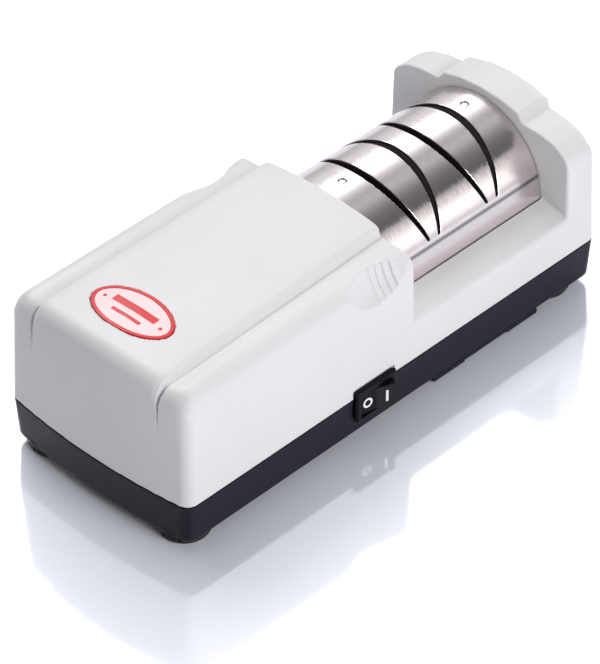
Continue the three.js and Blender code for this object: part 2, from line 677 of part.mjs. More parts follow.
function bladeGuide() {
  const clearance = SHEET + GAP;
  const outline = archPoints(COVER_RADIUS - clearance, COVER_FOOT_Y - clearance, GUIDE_BOTTOM_Z);
  const block = prismX(outline, COVER_X[0], COVER_X[1]);
  const low = [20, AXIS_Z]; // every room is open downwards, so that filings fall out
  const pocketRadius = WHEEL_RADIUS + 2;
  const rooms = STAGE_X.flatMap((x) => {
    const width = [x - WHEEL_POCKET_HALF, x + WHEEL_POCKET_HALF];
    return [rodX(pocketRadius, width, 0, AXIS_Z, 28), box(width, [-pocketRadius, pocketRadius], low)];
  });
  rooms.push(rodX(TUNNEL_RADIUS, TUNNEL_X, 0, AXIS_Z, 20));
  rooms.push(box(TUNNEL_X, [-TUNNEL_RADIUS, TUNNEL_RADIUS], low));
  rooms.push(box([END_BEARING_X[0] - 3, COVER_X[1] + 1], [-13, 13], [low[0], AXIS_Z + 13]));
  const screwHoles = GUIDE_SCREW.x.map((x) =>
    bothSides(rodZ(SCREW_SHANK_HOLE_RADIUS, x, GUIDE_SCREW.y, [25, 40], 12)),
  );
  const pinBores = pinHoles(PIN_SHANK_RADIUS + GAP);
  return block.subtract(joined([allSlots(GAP), pinBores, ...rooms, ...screwHoles]));
}

// ---------- Turned pieces ----------

// A turned piece along Z from [radius, height] points of its half section.
function turned(profile, segments = 24) {
  return new THREE.LatheGeometry(profile.map(([r, z]) => new THREE.Vector2(r, z)), segments)
    .rotateX(Math.PI / 2);
}

function ring(outer, inner, length, segments = 32) {
  return turned(
    [[inner, 0], [outer, 0], [outer, length], [inner, length], [inner, 0]],
    segments,
  );
}

// Headed screw: the head's underside is at z = 0 and the shank runs up from it.
function screw(headRadius, headHeight, shankRadius, length) {
  return turned(
    [
      [0, 0.8 - headHeight],
      [headRadius * 0.4, -headHeight],
      [headRadius, -headHeight * 0.7],
      [headRadius, 0],
      [shankRadius, 0],
      [shankRadius, length - 1.5],
      [0, length],
    ],
    10,
  );
}

function rubberFoot() {
  return turned(
    [
      [PAD_BORE_RADIUS, 0],
      [PAD_RADIUS - 0.5, 0],
      [PAD_RADIUS, 0.5],
      [PAD_RADIUS, PAD_HEIGHT],
      [PAD_BORE_RADIUS, PAD_HEIGHT],
      [PAD_BORE_RADIUS, 0],
    ],
    20,
  );
}

// Locating pin that holds the cover to the guide: z = 0 is the cover's ridge.
function coverPin() {
  const length = 9;
  const headLow = -SHEET;
  return turned(
    [
      [0, -length],
      [PIN_SHANK_RADIUS, -length],
      [PIN_SHANK_RADIUS, headLow],
      [PIN_HEAD_RADIUS, headLow],
      [PIN_HEAD_RADIUS, PIN_TOP - 0.2],
      [PIN_HEAD_RADIUS - 0.3, PIN_TOP],
      [0, PIN_TOP],
    ],
    12,
  );
}

// ---------- Motor ----------

function statorCore() {
  const { halfWidth, z, cornerCut } = CORE;
  const through = grown(CORE_X, 1);
  const plate = box(CORE_X, [-halfWidth, halfWidth], z);
  const past = 0.5; // the corner cuts reach a little outside the plate
  const corner = [halfWidth + past, z[1] + past];
  const cutLength = cornerCut + past;
  const cut = [[corner[0], corner[1] - cutLength], corner, [corner[0] - cutLength, corner[1]]];
  const corners = bothSides(prismX(cut, ...through));
  const bore = rodX(BORE_RADIUS, through, 0, AXIS_Z, 32);
  const window = box(through, [-COIL_WINDOW.halfWidth, COIL_WINDOW.halfWidth], COIL_WINDOW.z);
  const screwHoles = [-1, 1].map((side) =>
    rodX(MOTOR_SCREW_HOLE_RADIUS, through, side * MOTOR_SCREW_Y, AXIS_Z, 12),
  );
  return plate.subtract(joined([corners, bore, window, ...screwHoles]));
}

// The core's lower limb, which the bobbin slides over.
const LIMB_Z = [CORE.z[0], COIL_WINDOW.z[0]];

function coilBobbin() {
  const { halfLength, wall, flange, flangeX, flangeZ } = BOBBIN;
  const tubeX = grown(CORE_X, GAP + wall);
  const tube = box(tubeX, [-halfLength, halfLength], grown(LIMB_Z, GAP + wall));
  const flanges = bothSides(box(flangeX, [halfLength - flange, halfLength], flangeZ));
  const hole = box(grown(CORE_X, GAP), [-halfLength - 1, halfLength + 1], grown(LIMB_Z, GAP));
  return tube.add(flanges).subtract(hole);
}

function statorCoil() {
  const { halfLength, x, z } = WINDING;
  const clearance = 2 * GAP + BOBBIN.wall;
  const winding = box(x, [-halfLength, halfLength], z);
  const holeY = [-halfLength - 1, halfLength + 1];
  return winding.subtract(box(grown(CORE_X, clearance), holeY, grown(LIMB_Z, clearance)));
}

function motorBracket(faceX, side) {
  const x = (distance) => faceX + side * distance;
  const { halfLength, halfHeight, depth, web, footInnerY } = BRACKET;
  const outline = [
    [x(GAP), -halfLength],
    [x(depth), -halfLength],
    [x(depth), halfLength],
    [x(GAP), halfLength],
    [x(GAP), footInnerY],
    [x(web), footInnerY],
    [x(web), -footInnerY],
    [x(GAP), -footInnerY],
  ];
  const height = [AXIS_Z - halfHeight, AXIS_Z + halfHeight];
  const bow = prismZ(side > 0 ? outline : outline.reverse(), ...height);
  const bossEnds = [x(BRACKET_BOSS.from), x(BRACKET_BOSS.to)].sort((a, b) => a - b);
  const boss = rodX(BRACKET_BOSS.radius, bossEnds, 0, AXIS_Z, 24);
  const reach = [x(-1), x(14)].sort((a, b) => a - b);
  const bushHole = rodX(BUSH_RADIUS + GAP, reach, 0, AXIS_Z, 24);
  const screwHoles = [-1, 1].map((end) =>
    rodX(MOTOR_SCREW_HOLE_RADIUS, reach, end * MOTOR_SCREW_Y, AXIS_Z, 12),
  );
  return bow.add(boss).subtract(joined([bushHole, ...screwHoles]));
}

function coolingFan() {
  const hub = rodX(FAN.hubRadius, FAN.hubX, 0, AXIS_Z, 16);
  const disc = rodX(FAN.discRadius, FAN.discX, 0, AXIS_Z, 20);
  const { count, x, length, thickness, height, middle } = FAN_BLADE;
  const blades = [];
  for (let i = 0; i < count; i += 1) {
    const blade = new THREE.BoxGeometry(length, thickness, height);
    blade.translate(x, 0, middle).rotateX((i / count) * Math.PI * 2);
    blades.push(solid(blade.translate(0, 0, AXIS_Z)));
  }
  const bore = rodX(SHAFT_RADIUS + GAP, grown(FAN.hubX, 1), 0, AXIS_Z, 20);
  return joined([hub, disc, ...blades]).subtract(bore);
}

function wheelProfile() {
  const bore = SHAFT_RADIUS + GAP;
  const half = WHEEL_WIDTH / 2;
  return [
    [bore, -half],
    [WHEEL_RADIUS - 0.8, -half],
    [WHEEL_RADIUS, 0.8 - half],
    [WHEEL_RADIUS, half - 0.8],
    [WHEEL_RADIUS - 0.8, half],
    [bore, half],
    [bore, -half],
  ];
}

function hexNut(flatRadius, length) {
  const body = solid(cylinder(flatRadius / Math.cos(Math.PI / 6), length, 6).rotateZ(-Math.PI / 2));
  const bore = rodX(SHAFT_RADIUS + GAP, [-length, length], 0, 0, 20);
  return body.subtract(bore);
}

// ---------- Switch ----------

function switchFrame() {
  const rim = prismY(roundedRect(SWITCH), SWITCH_FACE_Y, SWITCH_SEAT_Y - GAP);
  const body = box(SWITCH_BODY.x, [SWITCH_SEAT_Y - 0.5, SWITCH_BODY.backY], SWITCH_BODY.z);
  const opening = box(SWITCH_OPENING.x, [-60, SWITCH_OPENING.backY], SWITCH_OPENING.z);
  return rim.add(body).subtract(opening);
}

function roundedRect({ x, z, width, height, cornerRadius: radius }) {
  const points = [];
  const steps = 3;
  for (const [sx, sz, start] of [[1, 1, 0], [-1, 1, 90], [-1, -1, 180], [1, -1, 270]]) {
    for (let i = 0; i <= steps; i += 1) {
      const angle = THREE.MathUtils.degToRad(start + (90 * i) / steps);
      points.push([
        x + sx * (width / 2 - radius) + radius * Math.cos(angle),
        z + sz * (height / 2 - radius) + radius * Math.sin(angle),
      ]);
    }
  }
  return points;
}

// The rocker about its own pivot: the pivot is at the origin and -Y is the outside.
function switchRocker() {
  const crest = THREE.MathUtils.degToRad(ROCKER_CREST_DEG);
  const points = [[0, -ROCKER_MIDDLE]];
  const steps = 10;
  for (let i = 0; i <= steps; i += 1) {
    const angle = ((Math.PI + 2 * crest) * i) / steps - crest;
    points.push([ROCKER_RADIUS * Math.cos(angle), ROCKER_RADIUS * Math.sin(angle)]);
  }
  return extrude(shapeOf(points), 2 * ROCKER_HALF_HEIGHT).translate(0, 0, -ROCKER_HALF_HEIGHT);
}

// ---------- Leads inside the body ----------

function lead(points) {
  const curve = new THREE.CatmullRomCurve3(points.map((p) => new THREE.Vector3(...p)));
  const shape = new THREE.Shape();
  shape.absarc(0, 0, 1.1, 0, Math.PI * 2);
  return new THREE.ExtrudeGeometry(shape, {
    extrudePath: curve,
    steps: 10,
    curveSegments: 3,
    bevelEnabled: false,
  });
}

// ---------- Assembly ----------

const sharpener = new THREE.Group();

function add(name, shape, finish, position = [0, 0, 0], rotation = [0, 0, 0]) {
  const geometry = shape.isBufferGeometry ? shape : geometryOf(shape);
  const mesh = new THREE.Mesh(geometry, finish.clone());
  mesh.name = name;
  mesh.position.set(...position);
  mesh.rotation.set(...rotation);
  sharpener.add(mesh);
}

// Turns a piece made along Z so that it lies along +X.
const ALONG_X = [0, Math.PI / 2, 0];

add('upper_housing', upperHousing(), whitePlastic);
add('base_tray', baseTray(), blackPlastic);
add('badge_plate', badgePlate(), badgeRed);
add('guide_cover', guideCover(), brushedSteel);
add('blade_guide', bladeGuide(), blackPlastic);
add('filings_tray', filingsTray(), blackPlastic);

const ridgeZ = AXIS_Z + COVER_RADIUS;
add('cover_pin_inner', coverPin(), brushedSteel, [PIN_X[0], 0, ridgeZ]);
add('cover_pin_outer', coverPin(), brushedSteel, [PIN_X[1], 0, ridgeZ]);

const footPlaces = {
  motor_front: [FOOT_X[0], -FOOT_Y],
  motor_rear: [FOOT_X[0], FOOT_Y],
  end_front: [FOOT_X[1], -FOOT_Y],
  end_rear: [FOOT_X[1], FOOT_Y],
};
for (const [place, [x, y]] of Object.entries(footPlaces)) {
  add(`rubber_foot_${place}`, rubberFoot(), rubber, [x, y, 0]);
  add(`base_screw_${place}`, screw(3.2, 2.2, 1.6, 20), zincSteel, [x, y, 7.7]);
}

const guideScrewPlaces = {
  inner_front: [GUIDE_SCREW.x[0], -GUIDE_SCREW.y],
  inner_rear: [GUIDE_SCREW.x[0], GUIDE_SCREW.y],
  outer_front: [GUIDE_SCREW.x[1], -GUIDE_SCREW.y],
  outer_rear: [GUIDE_SCREW.x[1], GUIDE_SCREW.y],
};
for (const [place, [x, y]] of Object.entries(guideScrewPlaces)) {
  add(`guide_screw_${place}`, screw(3.2, 2.2, 1.6, 30), zincSteel, [x, y, 7.2]);
}

add('switch_frame', switchFrame(), switchPlastic);
const rockerPlace = [SWITCH.x, ROCKER_AXIS.y, ROCKER_AXIS.z];
add('switch_rocker', switchRocker(), switchPlastic, rockerPlace, [0, 0, ROCKER_TILT]);
const terminalX = [SWITCH.x - 4.5, SWITCH.x + 4.5];
terminalX.forEach((x, i) => {
  const blade = box([x - 0.4, x + 0.4], [-30.7, -23], [SWITCH.z - 2.4, SWITCH.z + 2.4]);
  add(`switch_terminal_${i + 1}`, blade, brass);
});

const inletGland = turned(
  [
    [CORD_INLET.bore, 0],
    [6.4, 0],
    [6.4, 2],
    [4.8, 2],
    [4.8, 5.8],
    [7, 5.8],
    [7, 7.4],
    [5.6, INLET_LENGTH],
    [CORD_INLET.bore, INLET_LENGTH],
    [CORD_INLET.bore, 0],
  ],
  20,
);
const inletPlace = [CORD_INLET.x, INLET_START_Y, CORD_INLET.z];
add('cord_inlet_bush', inletGland, rubber, inletPlace, [-Math.PI / 2, 0, 0]);

add('stator_core', statorCore(), darkSteel);
add('coil_bobbin', coilBobbin(), nylon);
add('stator_coil', statorCoil(), copper);
add('motor_bracket_front', motorBracket(CORE_X[1], 1), zincSteel);
add('motor_bracket_rear', motorBracket(CORE_X[0], -1), zincSteel);
const bush = ring(BUSH_RADIUS, SHAFT_RADIUS + RUNNING_FIT, 5.4);
add('motor_bush_front', bush, bronze, [CORE_X[1] + 6, 0, AXIS_Z], ALONG_X);
add('motor_bush_rear', bush, bronze, [CORE_X[0] - 11.4, 0, AXIS_Z], ALONG_X);
for (const [place, side] of [['near', -1], ['far', 1]]) {
  const motorScrew = screw(3.4, 2.6, 1.8, 38);
  const headX = CORE_X[1] + 8.5 + GAP;
  add(
    `motor_screw_${place}`,
    motorScrew,
    zincSteel,
    [headX, side * MOTOR_SCREW_Y, AXIS_Z],
    [0, -Math.PI / 2, 0],
  );
}

const shaftProfile = [
  [0, -86],
  [SHAFT_RADIUS - 0.5, -86],
  [SHAFT_RADIUS, -85.5],
  [SHAFT_RADIUS, 91],
  [SHAFT_RADIUS - 0.5, 91.5],
  [0, 91.5],
];
add('drive_shaft', turned(shaftProfile, 32), zincSteel, [0, 0, AXIS_Z], ALONG_X);
const rotorSpan = [CORE_X[0] - 3, CORE_X[1] + 3];
const rotorLength = rotorSpan[1] - rotorSpan[0];
const rotor = ring(ROTOR_RADIUS, SHAFT_RADIUS + GAP, rotorLength);
add('motor_rotor', rotor, darkSteel, [rotorSpan[0], 0, AXIS_Z], ALONG_X);
add('cooling_fan', coolingFan(), nylon);

const wheelHalf = WHEEL_WIDTH / 2;
const wheels = [['coarse_wheel', coarseAbrasive], ['fine_wheel', fineAbrasive]];
wheels.forEach(([name, finish], i) => {
  add(name, turned(wheelProfile(), 32), finish, [STAGE_X[i], 0, AXIS_Z], ALONG_X);
});
const collar = (from, to) => ring(5, SHAFT_RADIUS + GAP, to - from, 20);
const collarSpans = {
  wheel_collar: [24, STAGE_X[0] - wheelHalf - GAP],
  wheel_spacer: [STAGE_X[0] + wheelHalf + GAP, STAGE_X[1] - wheelHalf - GAP],
  wheel_washer: [STAGE_X[1] + wheelHalf + GAP, STAGE_X[1] + wheelHalf + GAP + 1],
};
for (const [name, [from, to]] of Object.entries(collarSpans)) {
  add(name, collar(from, to), zincSteel, [from, 0, AXIS_Z], ALONG_X);
}
const nutX = collarSpans.wheel_washer[1] + GAP + 2.5;
add('wheel_nut', hexNut(5, 5), zincSteel, [nutX, 0, AXIS_Z]);

const endBearing = ring(END_BEARING_RADIUS, SHAFT_RADIUS + RUNNING_FIT, 4.4);
add('end_bearing', endBearing, zincSteel, [END_BEARING_X[0] + 0.3, 0, AXIS_Z], ALONG_X);
const capSeat = rodX(END_BEARING_RADIUS + GAP, BEARING_BORE_X, 0, AXIS_Z, 32);
const capHoles = bothSides(rodZ(1.7, CAP_SCREW_X, CAP_SCREW_Y, [30, 60], 12));
const capBlockY = [-BEARING_POST_Y, BEARING_POST_Y];
const cap = box(END_BEARING_X, capBlockY, [AXIS_Z + GAP, CAP_TOP_Z]);
add('bearing_cap', cap.subtract(capSeat.add(capHoles)), blackPlastic);
for (const [place, side] of [['near', -1], ['far', 1]]) {
  const capScrew = screw(1.7, 1.6, 1.1, 18);
  const capScrewPlace = [CAP_SCREW_X, side * CAP_SCREW_Y, CAP_TOP_Z + GAP];
  add(`cap_screw_${place}`, capScrew, zincSteel, capScrewPlace, [Math.PI, 0, 0]);
}
const seal = ring(SEAL_RADIUS, SHAFT_RADIUS + RUNNING_FIT, 2);
add('shaft_seal', seal, felt, [HOOD_END_X - WALL + 0.1, 0, AXIS_Z], ALONG_X);

const leadEnds = [
  [[terminalX[0], -21.6, SWITCH.z], [-23, -18.5, 22], [-30, -17.5, 25], [-32.6, -13, 16]],
  [[terminalX[1], -21.6, SWITCH.z], [-14, -16, 23], [-22, -9, 26], [-32.6, -6, 16]],
];
leadEnds.forEach((points, i) => {
  add(`switch_lead_${i + 1}`, lead(points), wireCover);
});

export default sharpener;
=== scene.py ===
"""Looks of an electric two-stage bench knife sharpener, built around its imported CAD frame.

Shapes are worked out in millimetres in the CAD's own frame and stored in metres.
The moulded pieces are distance fields, negative inside, that surface_net() turns into closed meshes.
"""

import json
import math

import bpy
import numpy as np
from mathutils import Matrix, Vector


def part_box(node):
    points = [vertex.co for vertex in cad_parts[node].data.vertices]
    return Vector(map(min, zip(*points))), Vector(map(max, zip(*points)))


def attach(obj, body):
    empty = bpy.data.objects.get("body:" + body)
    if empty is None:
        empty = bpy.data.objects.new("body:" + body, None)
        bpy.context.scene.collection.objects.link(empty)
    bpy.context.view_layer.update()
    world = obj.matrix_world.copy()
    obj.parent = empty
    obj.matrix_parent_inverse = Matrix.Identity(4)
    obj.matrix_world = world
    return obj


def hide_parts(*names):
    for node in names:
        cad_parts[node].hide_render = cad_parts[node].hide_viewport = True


MM = 0.001
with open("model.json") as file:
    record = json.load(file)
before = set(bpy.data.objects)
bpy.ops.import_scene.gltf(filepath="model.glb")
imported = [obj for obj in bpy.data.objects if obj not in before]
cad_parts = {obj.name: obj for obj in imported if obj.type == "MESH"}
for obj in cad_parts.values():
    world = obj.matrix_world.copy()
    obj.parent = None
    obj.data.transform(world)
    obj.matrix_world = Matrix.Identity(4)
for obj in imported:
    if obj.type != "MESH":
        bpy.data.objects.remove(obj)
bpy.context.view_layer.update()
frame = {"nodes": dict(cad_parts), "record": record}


def box_mm(node):
    """Lowest and highest corner of a CAD node in millimetres."""
    low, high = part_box(node)
    return np.array(low) / MM, np.array(high) / MM


# ---------- Sizes shared by several pieces, in millimetres ----------

housing_high = box_mm("upper_housing")[1]
cover_low, cover_high = box_mm("guide_cover")
frame_low, frame_high = box_mm("switch_frame")
badge_low, badge_high = box_mm("badge_plate")
tray_low, tray_high = box_mm("filings_tray")
shaft_low, shaft_high = box_mm("drive_shaft")

HALF_LENGTH = housing_high[0]
HALF_WIDTH = housing_high[1]
SEAM_Z = 21.4  # joint between white housing and black base
GAP = 0.3  # clearance between neighbouring pieces
WALL = 2.3
CORNER_RADIUS = 5.0
END_BOW = 2.9  # how far the end faces bulge in plan
STRAIGHT_Y = HALF_WIDTH - CORNER_RADIUS
HOUSING_DRAFT = math.tan(math.radians(1.6))
BASE_DRAFT = math.tan(math.radians(3.2))
FOOT_HEIGHT = 3.6

HOOD_END_X = 6.6  # hood face towards the cover
END_WALL_X = 94.1  # end wall face towards the cover
STEP_Y = 30.0  # edge of the hood's raised panel
SHOULDER_Y = 40.7
CROWN_DROP = 3.6  # fall of the raised panel towards the motor end
PANEL_FLARE = 2.9  # widening of the raised panel towards the motor end
END_FLARE = 2.1  # how far the hood's outer corners reach over the cover's end
SHOULDER_HELD = 0.42  # share of the panel's fall that the shoulder beside it is spared
STEP_FOOT_Y = 28.9  # the sparing starts here
STEP_RUN = 1.4  # and is complete this much further out
RAIL_INNER_Y = 34.15  # the ledge's inner edge, beside the cover
RAIL_INNER_Z = 42.4
RAIL_SLOPE = 0.304  # fall of the ledge's top towards the outside
RAIL_BOTTOM_Z = 33
COVER_LEAN = 0.142  # lean of the cover's sides and of the ledge's edge beside them

AXIS_Z = (shaft_low[2] + shaft_high[2]) / 2
COVER_RADIUS = cover_high[2] - AXIS_Z
COVER_CREASE = 18.5  # degrees above the axis where the sheet's bend ends and its flat sides start
CREASE_RUN = COVER_RADIUS * math.radians(90 - COVER_CREASE)  # from the ridge along the sheet
WHEEL_X = [(box_mm(name)[0][0] + box_mm(name)[1][0]) / 2 for name in ("coarse_wheel", "fine_wheel")]
SWITCH_X = (frame_low[0] + frame_high[0]) / 2
SWITCH_Z = (frame_low[2] + frame_high[2]) / 2
SWITCH_HALF = ((frame_high[0] - frame_low[0]) / 2, (frame_high[2] - frame_low[2]) / 2)
SWITCH_SEAT_Y = -46.0
BADGE_CENTRE = (badge_low + badge_high)[:2] / 2
BADGE_RADII = (badge_high - badge_low)[:2] / 2
FEET = ["motor_front", "motor_rear", "end_front", "end_rear"]
bush_low, bush_high = box_mm("cord_inlet_bush")
INLET_X, _, INLET_Z = (bush_low + bush_high) / 2

# Half sections of the two raised ends: distance from the middle, height.
HOOD_SECTION = [
    (0, 77.9), (10, 77.5), (20, 76.7), (24.5, 76.25), (27.6, 75.7), (29.2, 74.7), (29.9, 72.4), (30.3, 71.45),
    (31.2, 71.5), (36, 70.9), (40.7, 70.1), (43.6, 68.8), (45.6, 66.4), (47, 62.5), (50, 50),
]
WALL_SECTION = [
    (0, 78.7), (10, 78), (19.2, 75.9), (22, 72.1), (31, 71.8), (38.5, 70.2), (44, 66.4), (46.6, 62), (50, 50),
]
SECTION_STEP = 0.05
CHANGE_SPAN = 2.5  # width over which crisp corners give way to soft ones


# ---------- Distance fields ----------

def round_and(a, b, radius):
    """What is inside both fields, with the edge between them rounded."""
    corner = np.hypot(np.maximum(a + radius, 0), np.maximum(b + radius, 0))
    return np.minimum(-radius, np.maximum(a, b)) + corner


def round_or(a, b, radius):
    """What is inside either field, with the inner corner between them filled."""
    corner = np.hypot(np.maximum(radius - a, 0), np.maximum(radius - b, 0))
    return np.maximum(radius, np.minimum(a, b)) - corner


def cut(a, b, radius):
    """Field a with field b taken away and the new edge rounded."""
    return round_and(a, -b, radius)


def slab(value, low, high):
    """What lies between two parallel planes."""
    return np.maximum(low - value, value - high)


def block(x, y, z, spans, radius=0.0):
    """A box between the (low, high) pairs in spans, with rounded edges."""
    reach = [np.abs(v - (a + b) / 2) - (b - a) / 2 + radius for v, (a, b) in zip((x, y, z), spans)]
    outside = np.sqrt(sum(np.maximum(r, 0) ** 2 for r in reach))
    return outside + np.minimum(np.maximum(np.maximum(reach[0], reach[1]), reach[2]), 0) - radius


def pillar(x, y, z, centre, radius, z_span, edge=0.3):
    """An upright round post."""
    return round_and(np.hypot(x - centre[0], y - centre[1]) - radius, slab(z, *z_span), edge)


def ellipse(x, y, centre, radii):
    """Distance to an ellipse's rim, near enough for thin plates."""
    u, v = x - centre[0], y - centre[1]
    size = np.hypot(u / radii[0], v / radii[1])
    slope = np.hypot(u / radii[0] ** 2, v / radii[1] ** 2) + 1e-9
    return size * (size - 1) / slope


def odd_count(width, step):
    """How many samples of a table cover a width, as an odd number."""
    return int(width / step) | 1


def running_mean(values, width):
    """Smooths a row of values, twice over so that slopes come out smooth too."""
    for _ in range(2):
        padded = np.pad(values, width // 2, mode="edge")
        values = np.convolve(padded, np.ones(width) / width, mode="valid")
    return values


def softened_section(points, crisp, soft, change):
    """Height and slope over distance from the middle: crisp corners up to the change, soft ones after it."""
    reach = np.arange(-points[-1][0], points[-1][0] + SECTION_STEP, SECTION_STEP)
    height = np.interp(np.abs(reach), *zip(*points))
    near, far = (running_mean(height, odd_count(blur, SECTION_STEP)) for blur in (crisp, soft))
    share = np.clip((np.abs(reach) - change) / CHANGE_SPAN, 0, 1)
    height = near + (far - near) * share
    return reach, height, np.gradient(height, SECTION_STEP)


HOOD_TABLE = softened_section(HOOD_SECTION, crisp=0.6, soft=3.4, change=33.5)
WALL_TABLE = softened_section(WALL_SECTION, crisp=0.6, soft=2.4, change=26)


def top_field(table, y, z, fall):
    """Distance to a raised end's top, lowered by fall."""
    reach, height, slope = table
    lean = np.hypot(1, np.interp(np.abs(y), reach, slope))
    return (z - np.interp(np.abs(y), reach, height) + fall) / lean


def hood_top(x, y, z):
    """The hood's top: a raised panel that widens and falls towards the motor end."""
    towards_motor = np.clip((HOOD_END_X - x) / (HOOD_END_X + HALF_LENGTH), 0, 1)
    flare = PANEL_FLARE * towards_motor
    across = np.abs(y)
    ramp = flare / (SHOULDER_Y - STEP_Y)
    on_panel = across / (1 + flare / STEP_Y)
    on_shoulder = (across - ramp * SHOULDER_Y) / (1 - ramp)
    source = np.where(across < STEP_Y + flare, on_panel, np.where(across < SHOULDER_Y, on_shoulder, across))
    share = np.clip((SHOULDER_Y - source) / (SHOULDER_Y - STEP_Y), 0, 1)
    share = share * share * (3 - 2 * share)
    share = share * (1 - SHOULDER_HELD * np.clip((source - STEP_FOOT_Y) / STEP_RUN, 0, 1))
    return top_field(HOOD_TABLE, source, z, CROWN_DROP * towards_motor * share)


def plan_walls(x, y, half_length, half_width):
    """End and side distances of the body's outline, whose ends bulge a little."""
    bow = END_BOW * (np.minimum(np.abs(y), STRAIGHT_Y) / STRAIGHT_Y) ** 2
    return np.abs(x) - half_length + bow, np.abs(y) - half_width


SCOOP_CENTRE = (-10.4, 62.6, 75.8)
SCOOP_RADIUS = 24.6
RIB_START_X = -10.1
RIB_PITCH = 3.0
RIB_COUNT = 4
RIB_HEIGHT = 0.95
RIB_RISE = 0.14  # share of the pitch in which a tooth rises; it falls over the rest
FIRST_RIB = 0.45  # share of the full height, and how much each later rib adds
RIB_GROWTH = 0.2


def scoop(x, y, z):
    """The ball-shaped finger scoop, shallower where its saw-tooth grip ribs stand."""
    phase = (x - RIB_START_X) / RIB_PITCH
    part = phase - np.floor(phase)
    tooth = np.minimum(part / RIB_RISE, 1) * (1 - part)
    height = RIB_HEIGHT * np.clip(FIRST_RIB + RIB_GROWTH * phase, 0, 1)
    ribs = np.where((phase > 0) & (phase < RIB_COUNT), height * tooth, 0)
    cx, cy, cz = SCOOP_CENTRE
    distance = np.sqrt((x - cx) ** 2 + (np.abs(y) - cy) ** 2 + (z - cz) ** 2)
    return distance - SCOOP_RADIUS + ribs


# Radii of the housing's edges.
HOOD_END_ROUND = 7.0
WALL_END_ROUND = 6.0
FACE_ROUND = 0.7  # the faces beside the cover
RAIL_ROUND = 0.3
RAIL_FILLET = 1.2  # where a ledge meets the hood and the end wall
SIDE_ROUND = 1.4
SCOOP_ROUND = 0.4


def housing_skin(x, y, z):
    """The white housing as if it were solid and had no bottom."""
    shrink = HOUSING_DRAFT * (z - SEAM_Z)
    end, side = plan_walls(x, y, HALF_LENGTH - shrink, HALF_WIDTH - shrink)
    hood = round_and(hood_top(x, y, z), end, HOOD_END_ROUND)
    flare = END_FLARE * np.clip((np.abs(y) - STEP_Y) / (HALF_WIDTH - STEP_Y), 0, 1) ** 2
    hood = round_and(hood, x - HOOD_END_X - flare, FACE_ROUND)
    wall = round_and(top_field(WALL_TABLE, y, z, 0), end, WALL_END_ROUND)
    wall = round_and(wall, END_WALL_X - x, FACE_ROUND)
    across = np.abs(y) - RAIL_INNER_Y
    rail_top = (z - RAIL_INNER_Z + RAIL_SLOPE * across) / math.hypot(1, RAIL_SLOPE)
    rail = round_and(rail_top, -across - COVER_LEAN * np.maximum(z - cover_low[2], 0), RAIL_ROUND)
    rail = np.maximum(rail, slab(x, HOOD_END_X - WALL, END_WALL_X + WALL))
    core = round_or(np.minimum(hood, wall), rail, RAIL_FILLET)
    skin = np.maximum(round_and(core, side, SIDE_ROUND), round_and(end, side, CORNER_RADIUS))
    return cut(skin, scoop(x, y, z), SCOOP_ROUND)


OUTSIDE_Y = -60  # in front of everything on the switch side
SWITCH_HOLE = [(SWITCH_X - 9.7, SWITCH_X + 9.7), (OUTSIDE_Y, -40), (10.6, 23.2)]
SWITCH_EDGE = 0.25


def switch_opening(x, y, z):
    """Where the switch's body and rim sit."""
    reach_x, reach_z = SWITCH_HALF[0] + GAP, SWITCH_HALF[1] + GAP
    across = (SWITCH_X - reach_x, SWITCH_X + reach_x)
    up = (SWITCH_Z - reach_z, SWITCH_Z + reach_z)
    seat = block(x, y, z, [across, (OUTSIDE_Y, SWITCH_SEAT_Y), up], 0.6)
    return np.minimum(seat, block(x, y, z, SWITCH_HOLE))


UNDER_RAIL = [
    (HOOD_END_X + 2, END_WALL_X - 2),
    (-RAIL_INNER_Y - 3, RAIL_INNER_Y + 3),
    (0, RAIL_BOTTOM_Z),
]
SEAM_ROUND = 0.35
RECESS_GAP = 0.08
RECESS_DEPTH = 0.9
INLET_HOLE_RADIUS = 5.2
INLET_HOLE_Y = 35  # the hole for the cord gland runs outwards from here
SEAL_HOLE_RADIUS = 9.0
SEAL_HOLE_X = (0, 10)


def housing(x, y, z):
    """The white moulding: a shell with openings for ledge, badge, switch, cord gland and shaft seal."""
    skin = housing_skin(x, y, z)
    shell = np.maximum(skin, -(skin + WALL))
    shell = np.maximum(shell, -block(x, y, z, UNDER_RAIL))
    shell = round_and(shell, SEAM_Z + GAP / 2 - z, SEAM_ROUND)
    badge = ellipse(x, y, BADGE_CENTRE, BADGE_RADII)
    recess = np.maximum(badge - RECESS_GAP, -hood_top(x, y, z) - RECESS_DEPTH)
    shell = cut(shell, recess, 0.15)
    shell = cut(shell, switch_opening(x, y, z), SWITCH_EDGE)
    inlet = np.maximum(np.hypot(x - INLET_X, z - INLET_Z) - INLET_HOLE_RADIUS, INLET_HOLE_Y - y)
    seal = np.maximum(np.hypot(y, z - AXIS_Z) - SEAL_HOLE_RADIUS, slab(x, *SEAL_HOLE_X))
    return np.maximum(shell, -np.minimum(inlet, seal))


# ---------- Meshes ----------

def lines(*runs):
    """Grid lines from (start, stop, step) runs that follow each other."""
    parts = [np.linspace(a, b, max(2, round((b - a) / step) + 1)) for a, b, step in runs]
    return np.unique(np.round(np.concatenate(parts), 6))


PROBE = 0.02  # how far a slope is measured to each side
SETTLE_PASSES = 4  # how often the vertices are moved onto the surface
LONGEST_MOVE = 0.35
FLATTEST_SLOPE = 0.05


def gradient(field, points):
    """Direction in which the field grows, at each point."""
    columns = []
    for axis in range(3):
        shift = np.zeros(3)
        shift[axis] = PROBE
        columns.append(field(*(points + shift).T) - field(*(points - shift).T))
    return np.stack(columns, 1) / (2 * PROBE)


